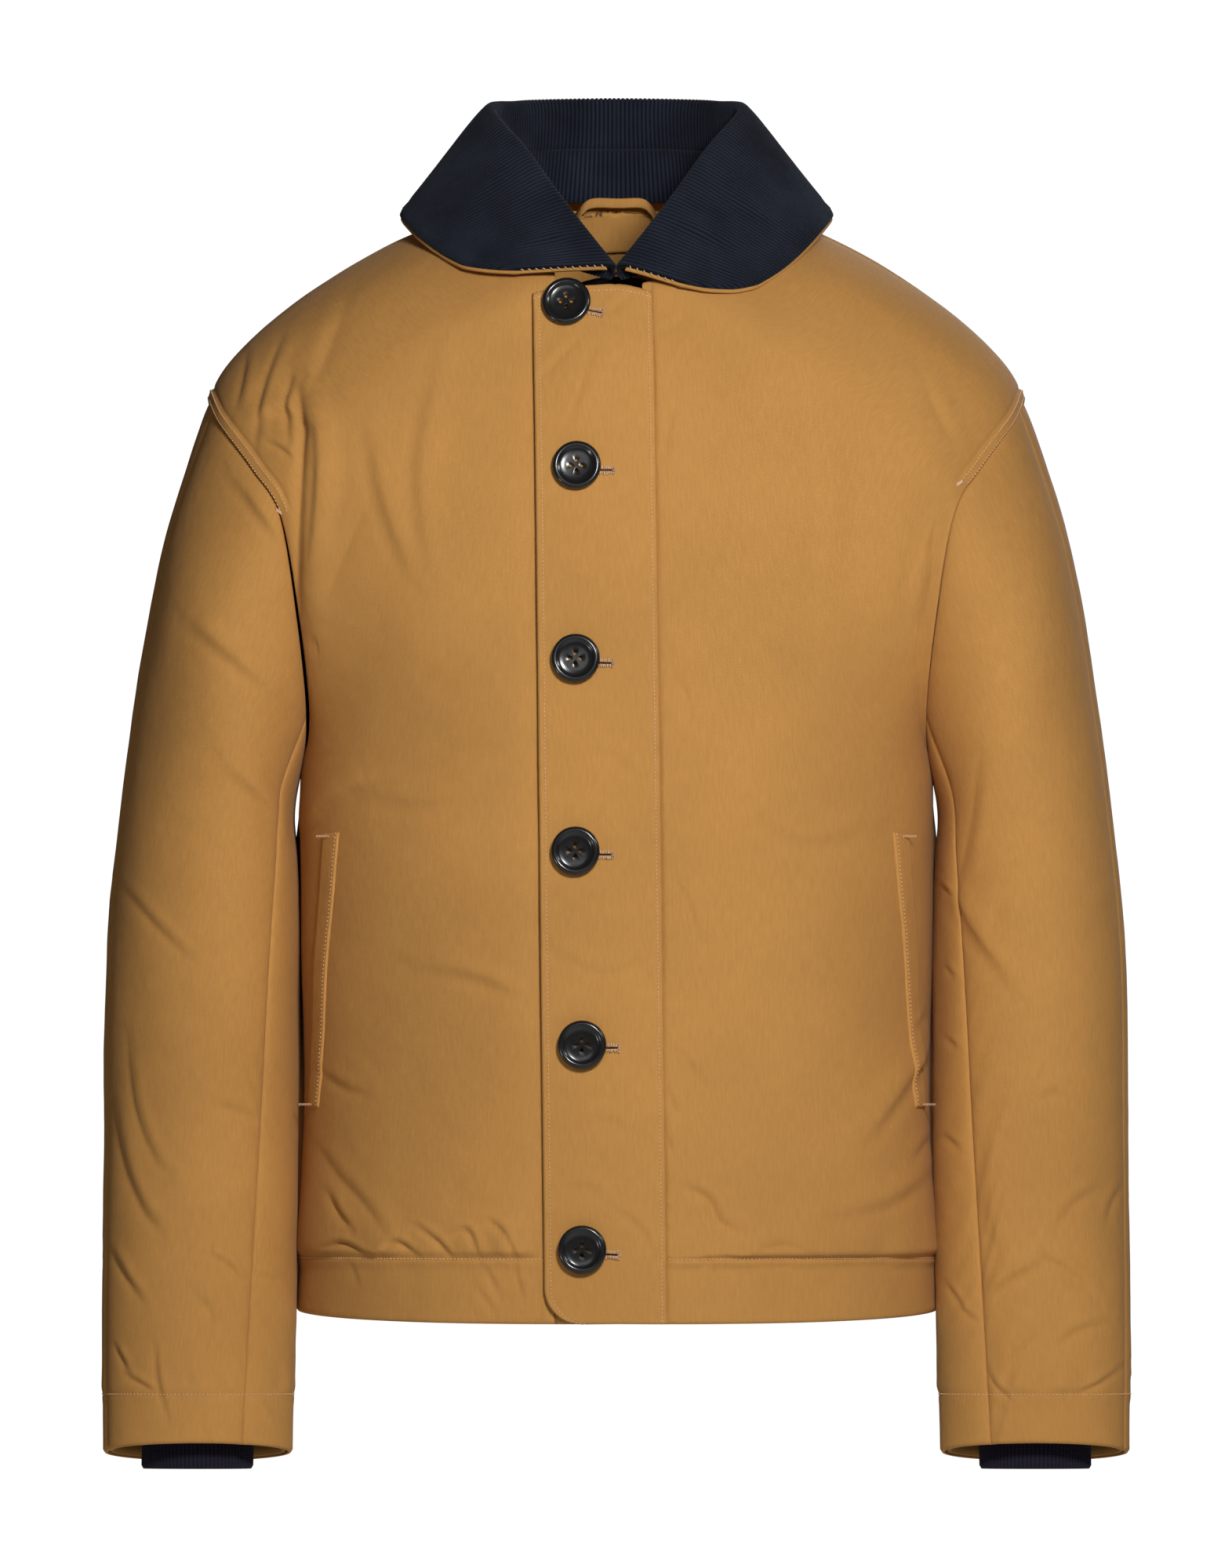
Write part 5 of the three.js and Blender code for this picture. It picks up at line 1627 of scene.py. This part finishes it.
UNDER_CLOTH = {}
for side in SIGN:
    k, ridge = wale_places(COLLAR_EDGE[side])
    k = k * (COLLAR_END - 0.03) / COLLAR_END
    high = WALE_HEIGHT * (ridge - 0.65)
    cloth, edges = collar_cloth(side, STAND_TOP + 0.001, 3.2, CORDUROY_FACE, high, EDGE_SHOWS, k)
    top, foot, start, end = edges
    heights = -0.75 * (roll_in(top, 1.6) + roll_in(foot, 2.2) + roll_in(end, 2.0))
    cloth.grid = cloth.grid + cloth.out * heights[..., None]
    piece = cloth_piece(side + "_corduroy", [cloth], CORDUROY_CLOTH, CORDUROY, wales=[ridge])
    settle(piece, [cloth], CORDUROY_NODES[side], bend=lift_bend(side))

    plain = np.linspace(0, COLLAR_END, 140)
    cloth, (top, foot, start, end) = collar_cloth(side, 1.12, 3.0, 0.0, 0.0, 0.0, plain)
    cloth.grid = cloth.grid - cloth.out * (0.5 * roll_in(end, 1.4) + 0.5 * roll_in(foot, 1.4))[..., None]
    UNDER_CLOTH[side] = cloth
    piece = cloth_piece(side + "_under_cloth", [cloth], UNDER_CLOTH_THICK, TAN_CLOTH)
    settle(piece, [cloth], UNDER_NODES[side], bend=lift_bend(side))

# %% [markdown]
# The band inside the neck is the same corduroy, from the seam up to a line below the roll. Its two
# halves meet at the middle of the back, so both take their wales from the same edge.

# %% The stand band
cloths, ridges = [], []
for side in SIGN:
    k, ridge = wale_places(COLLAR_EDGE["left"])
    high = WALE_HEIGHT * (ridge - 0.65)
    cloth, edges = collar_cloth(side, 0.03, 3.0, CORDUROY_FACE, high, 0, k, STAND_TOP, folds=False)
    top, foot, start, end = edges
    cloth.grid = cloth.grid - cloth.out * (0.7 * (roll_in(top, 1.6) + roll_in(foot, 1.6)))[..., None]
    cloths.append(cloth)
    ridges.append(ridge)
every_row = np.ones(len(cloths[0].grid), bool)
piece = cloth_piece("stand_band", cloths, CORDUROY_CLOTH, CORDUROY, joined_rows=every_row, wales=ridges)
settle(piece, cloths, ["collar_stand"])

# %% [markdown]
# ## Buttons
# A horn button is turned on a lathe: a flat back, a round raised rim and a dished middle with four
# holes. Here a circle is extruded outwards and inwards ring by ring, as on the lathe, and the holes are
# drilled with a boolean before the edges are rounded.

# %% One button, modelled once
BUTTON_PROFILE = (  # radius and height, from the flat back over the rim to the middle
    (9.5, 0.0), (12.6, 0.35), (14.3, 1.15), (15.0, 2.3), (14.85, 3.4), (14.2, 4.3), (13.2, 4.85),
    (12.2, 4.8), (11.4, 4.3), (10.7, 3.65), (9.6, 3.2), (7.0, 2.95), (3.5, 2.85), (0.8, 2.8),
)
BUTTON_SIDES = 64
HOLE_REACH = 3.4
HOLE_RADIUS = 1.4
HOLE_DEEP = 9


def turned_button():
    """A button with its back on the floor of its own frame and its face up, in metres."""
    deselect()
    back = BUTTON_PROFILE[0][0] * MM
    bpy.ops.mesh.primitive_circle_add(vertices=BUTTON_SIDES, radius=back, fill_type="NGON")
    button = bpy.context.object
    bpy.ops.object.mode_set(mode="EDIT")
    bpy.ops.mesh.select_all(action="SELECT")
    bpy.ops.mesh.flip_normals()
    bpy.ops.mesh.select_mode(type="EDGE")
    bpy.ops.mesh.select_all(action="SELECT")
    bpy.ops.mesh.region_to_loop()
    for (r0, h0), (r1, h1) in zip(BUTTON_PROFILE, BUTTON_PROFILE[1:]):
        bpy.ops.mesh.extrude_edges_move(TRANSFORM_OT_translate={"value": (0, 0, (h1 - h0) * MM)})
        bpy.ops.transform.resize(value=(r1 / r0, r1 / r0, 1), center_override=(0, 0, 0))
    bpy.ops.mesh.edge_face_add()
    bpy.ops.mesh.select_all(action="SELECT")
    bpy.ops.mesh.normals_make_consistent(inside=False)
    bpy.ops.object.mode_set(mode="OBJECT")
    return button


def drill(button):
    """Four holes through a button, and its sharp edges rounded."""
    bits = []
    for q in range(4):
        turn = q * math.pi / 2
        place = (HOLE_REACH * MM * math.cos(turn), HOLE_REACH * MM * math.sin(turn), 1.5 * MM)
        deselect()
        bpy.ops.mesh.primitive_cylinder_add(vertices=20, radius=HOLE_RADIUS * MM, depth=HOLE_DEEP * MM,
                                            location=place)
        bits.append(bpy.context.object)
    cut(button, bits)
    bevel = button.modifiers.new("round", "BEVEL")
    bevel.width = 0.18 * MM
    bevel.segments = 2
    bevel.angle_limit = math.radians(50)
    bevel.limit_method = "ANGLE"
    select_only(button)
    bpy.ops.object.modifier_apply(modifier="round")
    bpy.ops.object.shade_smooth_by_angle(angle=math.radians(40))


master = turned_button()
drill(master)
master.data.materials.append(HORN)
print("one button:", len(master.data.polygons), "faces")


# %% [markdown]
# Every button stands off the cloth on a shank of wound thread, which leaves room for the placket under
# it. The shank is a short core with six rings of thread round it. The button turns on it, and the shank
# stays with the jacket.

# %% Place the six buttons and wind their thread shanks
def place_copy(source, name, at, turn):
    """A copy of a piece that was made face up at the origin, turned to face out of the jacket."""
    copy = bpy.data.objects.new(name, source.data.copy())
    bpy.context.collection.objects.link(copy)
    face = Vector((0, 0, 1)).rotation_difference(Vector((0, -1, 0)))
    copy.data.transform((turn @ face).to_matrix().to_4x4())
    copy.data.transform(Matrix.Translation(at))
    return copy


THREAD_RADIUS = 0.32


def wound_shank():
    """A short stack of thread turns round a core."""
    height = BUTTON_LIFT * MM
    deselect()
    bpy.ops.mesh.primitive_cylinder_add(vertices=16, radius=1.0 * MM, depth=height * 0.9, location=(0, 0, 0))
    parts = [bpy.context.object]
    for n in range(6):
        deselect()
        bpy.ops.mesh.primitive_torus_add(major_radius=1.15 * MM, minor_radius=THREAD_RADIUS * MM,
                                         major_segments=16, minor_segments=6,
                                         location=(0, 0, (n - 2.5) * 0.62 * MM), rotation=(0.08, 0, n))
        parts.append(bpy.context.object)
    deselect()
    for part in parts:
        part.select_set(True)
    bpy.context.view_layer.objects.active = parts[0]
    bpy.ops.object.join()
    bpy.ops.object.transform_apply(location=True, rotation=True, scale=True)
    bpy.ops.object.shade_smooth_by_angle(angle=math.radians(50))
    return parts[0]


shank = wound_shank()
shank.data.materials.append(SEAM_THREAD)
for i in range(len(BUTTON_X)):
    at, right, up, out, turn = button_frame(i, 0)
    button = place_copy(master, f"horn_button_{i + 1}", at + out * BUTTON_LIFT * MM, turn)
    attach(button, f"button_{i + 1}")
    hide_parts(f"button_{i + 1}")
    post = place_copy(shank, f"thread_shank_{i + 1}", at + out * BUTTON_LIFT / 2 * MM, turn)
    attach(post, "jacket_body")
    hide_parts(f"button_thread_{i + 1}")
for used in (master, shank):
    bpy.data.objects.remove(used)
print("placed:", len(BUTTON_X), "buttons on thread shanks")

# %% [markdown]
# ## Hanger loop
# The strap is a strip of the shell cloth folded in half along its length and sewn down at both ends.
# Its U-shaped section is carried along the strap's path, so the fold is the lower edge.

# %% Strap
LOOP_PATH = np.array([
    [-25, 66, 5], [-21, 60.5, 12], [-15, 58.5, 16], [0, 58.4, 16.4],
    [15, 58.5, 16], [21, 60.5, 12], [25, 66, 5],
], float)
LOOP_SECTION = np.array([  # up and in, round the fold
    [3, 0], [1.5, -0.1], [0, -0.15], [-1.5, -0.1], [-2.5, 0.1], [-2.95, 0.5], [-3, 0.8],
    [-2.95, 1.1], [-2.5, 1.5], [-1.5, 1.7], [0, 1.75], [1.5, 1.7], [3, 1.6],
])
route = through(LOOP_PATH, np.linspace(0, len(LOOP_PATH) - 1, 60))
sway = 0.4 * relief(route[:, 0] * 2, route[:, 2] * 2, "small")
strap = np.stack([route + [0, inward, up] for up, inward in LOOP_SECTION])
strap[..., 2] += sway[None] * 0.8
cloth = Cloth(strap, 1 if normals_of(strap)[2, 30, 1] < 0 else -1)
piece = cloth_piece("strap", [cloth], 0.7, TAN_CLOTH)
settle(piece, [cloth], ["hanger_loop"], body="hanger_loop")

# %% [markdown]
# ## Stitches
# Every visible seam is sewn with real stitches: small rounded lengths of thread that dip into the cloth
# at both ends. One stitch has two dozen faces, because there are many hundreds of them. Each row of
# stitches follows the finished cloth, so it rises and falls with the folds.

# %% Stitch builder
STITCH_PITCH = 2.5
STITCH_SHARE = 0.66  # of the pitch that is thread on top of the cloth
STITCH_DIP = 0.25  # how far its ends go into the cloth
STITCH_PROFILE = ((0.14, 0.8), (0.5, 1.0), (0.86, 0.8))  # how far along the stitch, and how thick
STITCH_SIDES = 6


def on_cloth(cloth, row, col):
    """Points and outward normals of a finished cloth at fractional rows and columns."""
    rows, cols = cloth.grid.shape[:2]
    j, i = np.clip(np.floor(row).astype(int), 0, rows - 2), np.clip(np.floor(col).astype(int), 0, cols - 2)
    t, u = (np.clip(row - j, 0, 1))[:, None], (np.clip(col - i, 0, 1))[:, None]
    out = []
    for field in (cloth.grid, cloth.out):
        near = field[j, i] * (1 - u) + field[j, i + 1] * u
        out.append(near * (1 - t) + (field[j + 1, i] * (1 - u) + field[j + 1, i + 1] * u) * t)
    return out[0], out[1] / np.linalg.norm(out[1], axis=-1, keepdims=True)


def beside(cloth, edge, d, above=-math.inf):
    """A line at distance d from an edge of a cloth, above a height: 0 top, 1 foot, 2 start or 3 end."""
    gap = to_edges(cloth.flat)[edge]
    rows, cols = gap.shape
    if edge in (2, 3):
        order = slice(None) if edge == 2 else slice(None, None, -1)
        line = np.arange(rows, dtype=float)
        other = np.array([np.interp(d, gap[j][order], np.arange(cols)[order]) for j in range(rows)])
        points, normals = on_cloth(cloth, line, other)
    else:
        order = slice(None) if edge == 0 else slice(None, None, -1)
        line = np.arange(cols, dtype=float)
        other = np.array([np.interp(d, gap[:, i][order], np.arange(rows)[order]) for i in range(cols)])
        points, normals = on_cloth(cloth, other, line)
    kept = points[:, 2] > above
    return points[kept], normals[kept]


def level_line(cloth, z, first=0.0, last=1.0):
    """The line on a cloth that lies at one height."""
    rows, cols = cloth.flat.shape[:2]
    col = np.arange(int(first * (cols - 1)), int(last * (cols - 1)) + 1)
    row = np.array([np.interp(-z, -cloth.flat[:, i, 2], np.arange(rows)) for i in col])
    return on_cloth(cloth, row, col.astype(float))


def stitch_ends(points, normals, pitch, share):
    """First ends, last ends and normals of the stitches along a line."""
    run = lengths(points[:, None], 0)[:, 0]
    count = max(int(run[-1] / pitch), 1)
    starts = np.arange(count) * pitch + (run[-1] - count * pitch) / 2
    at = lambda d, values: np.stack([np.interp(d, run, values[:, n]) for n in range(3)], -1)
    return at(starts, points), at(starts + pitch * share, points), at(starts + pitch * share / 2, normals)


def stitch_mesh(first, last, normals, radius, lift):
    """Closed rounded stitches between matching points, in metres."""
    along = last - first
    side = np.cross(along, normals)
    side /= np.maximum(np.linalg.norm(side, axis=-1, keepdims=True), 1e-9)
    up = np.cross(side, along)
    up /= np.maximum(np.linalg.norm(up, axis=-1, keepdims=True), 1e-9)
    turn = np.arange(STITCH_SIDES) / STITCH_SIDES * 2 * np.pi
    circle = side[:, None] * np.cos(turn)[None, :, None] + up[:, None] * np.sin(turn)[None, :, None]
    verts = [(first - up * STITCH_DIP)[:, None]]
    for share, thick in STITCH_PROFILE:
        centre = first + along * share + up * lift * math.sin(math.pi * share)
        verts.append(centre[:, None] + circle * radius * thick)
    verts.append((last - up * STITCH_DIP)[:, None])
    verts = np.concatenate(verts, 1) * MM
    n, k = STITCH_SIDES, len(STITCH_PROFILE)
    faces = [[0, 1 + (i + 1) % n, 1 + i] for i in range(n)]
    for r in range(k - 1):
        faces += [[1 + r * n + i, 1 + r * n + (i + 1) % n, 1 + (r + 1) * n + (i + 1) % n, 1 + (r + 1) * n + i]
                  for i in range(n)]
    faces += [[1 + k * n, 1 + (k - 1) * n + i, 1 + (k - 1) * n + (i + 1) % n] for i in range(n)]
    size = verts.shape[1]
    everything = [[v + q * size for v in face] for q in range(len(verts)) for face in faces]
    return verts.reshape(-1, 3), everything


def sew(name, rows, finish=SEAM_THREAD, body="jacket_body", bend=None, radius=0.42, lift=0.2):
    """One piece holding all stitches of some rows. A row is first ends, last ends and normals."""
    verts, faces, count = [], [], 0
    for first, last, normals in rows:
        v, f = stitch_mesh(first, last, normals, radius, lift)
        faces += [[n + count for n in face] for face in f]
        verts.append(v)
        count += len(v)
    mesh = bpy.data.meshes.new(name)
    mesh.from_pydata(np.concatenate(verts).tolist(), [], faces)
    piece = bpy.data.objects.new(name, mesh)
    bpy.context.collection.objects.link(piece)
    select_only(piece)
    bpy.ops.object.mode_set(mode="EDIT")
    bpy.ops.mesh.select_all(action="SELECT")
    bpy.ops.mesh.normals_make_consistent(inside=False)
    bpy.ops.object.mode_set(mode="OBJECT")
    mesh.polygons.foreach_set("use_smooth", np.ones(len(mesh.polygons), bool))
    mesh.materials.append(finish)
    if bend:
        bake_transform(piece)
    else:
        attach(piece, body)
    print("sewn:", name, sum(len(r[0]) for r in rows), "stitches")
    return piece


def row_of(line):
    """A row of seam stitches along a line."""
    return stitch_ends(*line, STITCH_PITCH, STITCH_SHARE)


def bar_tack(cloth, row, col, spread, stitch, count):
    """A dense bar of count stitches, each running along stitch, spread about a place of a cloth."""
    point, normal = on_cloth(cloth, np.array([row]), np.array([col]))
    spread, stitch = np.array(spread, float), np.array(stitch, float)
    middle = point + np.linspace(-0.5, 0.5, count)[:, None] * spread + normal * 0.3
    return middle - stitch / 2, middle + stitch / 2, np.repeat(normal, count, 0)


# %% [markdown]
# The hem has one row, each armhole two with a bar tack at their foot, the placket one along each edge,
# and each welt one with a bar tack at both ends.

# %% Rows on the body
BAND_ROWS = (1.4, BAND - 1.2)  # distances of the two armhole rows from the seam
TACK_X = {"left": 210, "right": -207}


def place_of(cloth, x, z):
    """The row and column of a cloth nearest to a place on the front."""
    gap = (cloth.flat[..., 0] - x) ** 2 + (cloth.flat[..., 2] - z) ** 2
    gap = gap + np.where(cloth.out[..., 1] > 0.5, 1e6, 0)
    return np.unravel_index(gap.argmin(), gap.shape)


hem_line, band_rows, tacks = [], [], []
for side in SIGN:
    hem_line.append(row_of(level_line(FRONT_CLOTH[side], HEM_STITCH_Z, 0.04 if side == "left" else 0.0)))
    hem_line.append(row_of(level_line(BACK_CLOTH[side], HEM_STITCH_Z)))
    for cloth in (FRONT_CLOTH[side], BACK_CLOTH[side]):
        for d in BAND_ROWS:
            band_rows.append(row_of(beside(cloth, 3, d, BAND_END_Z[side])))
    j, i = place_of(FRONT_CLOTH[side], TACK_X[side], BAND_END_Z[side] + 1)
    tacks.append(bar_tack(FRONT_CLOTH[side], float(j), float(i), (0, 0, 1.6), (6 * SIGN[side], 0, 3.6), 5))
sew("hem_stitches", hem_line)
sew("armhole_stitches", band_rows)

placket_rows = [row_of(beside(PLACKET, edge, d)) for edge, d in ((2, 4.0), (3, 3.2), (0, 4.0))]
sew("placket_stitches", placket_rows)
welt_rows = []
for side in SIGN:
    welt_rows.append(row_of(beside(WELTS[side], 2, 2.6)))
    rows, cols = WELTS[side].grid.shape[:2]
    for row in (1.2, rows - 2.2):
        tacks.append(bar_tack(WELTS[side], row, cols * 0.5, (14, 0, 0), (0.3, 0, 1.8), 16))
sew("welt_stitches", welt_rows)
sew("bar_tacks", tacks, HOLE_THREAD, radius=0.32)

# %% [markdown]
# Buttonhole stitches stand side by side across both edges of the slit, each a little different in
# length, and a bar closes its outer end. The part that the button covers is left out.

# %% Buttonhole stitches
HOLE_BITE = 2.5
HOLE_STITCH_START = 11
HOLE_STITCH_PITCH = 0.8
hole_rows = []
for i in range(len(BUTTON_X)):
    at, right, up, out, turn = hole_frame(i, PLACKET_FACE + 0.7)
    at, right, up, out = (np.array(v) for v in (at / MM, right, up, out))
    reach = np.arange(HOLE_STITCH_START, SLIT_LENGTH + 0.6, HOLE_STITCH_PITCH)
    for way in (1, -1):
        jitter = RANDOM.uniform(-0.5, 0.5, (len(reach), 2))
        first = at + reach[:, None] * right + up * way * 0.35
        last = first + up * way * (HOLE_BITE + jitter[:, 1:]) + right * jitter[:, :1]
        hole_rows.append((first, last, np.repeat(out[None], len(reach), 0)))
    bars = np.linspace(-HOLE_BITE, HOLE_BITE, 6)
    first = at + up * bars[:, None] + right * (SLIT_LENGTH + 0.2)
    last = first + right * (2.0 + 0.5 * np.cos(bars))[:, None]
    hole_rows.append((first, last, np.repeat(out[None], len(bars), 0)))
sew("buttonhole_stitches", hole_rows, HOLE_THREAD, radius=0.3)

# %% [markdown]
# The cuffs have one row each. The under collar is whipped to the corduroy along its front end with
# slanting stitches of pale thread, which go from the under cloth over its edge.

# %% Rows on the sleeves and whipping on the collar
WHIP_PITCH, WHIP_SHARE = 4.6, 0.25
for side in SIGN:
    rows = [row_of(level_line(SLEEVE_CLOTH[side, part], CUFF_STITCH_Z)) for part in ("front", "back")]
    sew(side + "_cuff_stitches", rows, body=side + "_sleeve")
    line, normals = beside(UNDER_CLOTH[side], 3, 0.9)
    first, last, up = stitch_ends(line, normals, WHIP_PITCH, WHIP_SHARE)
    middle = (first + last) / 2
    inner_line = beside(UNDER_CLOTH[side], 3, 3.4)[0]
    inward = stitch_ends(inner_line, normals, WHIP_PITCH, WHIP_SHARE)[0][: len(middle)] - middle
    inward /= np.linalg.norm(inward, axis=-1, keepdims=True)
    middle = middle + up * 0.5
    whipping = [(middle - inward * 0.9, middle + inward * 1.5 + up * 1.2, up)]
    sew(side + "_collar_whipping", whipping, HOLE_THREAD, bend=lift_bend(side), radius=0.36, lift=0.4)
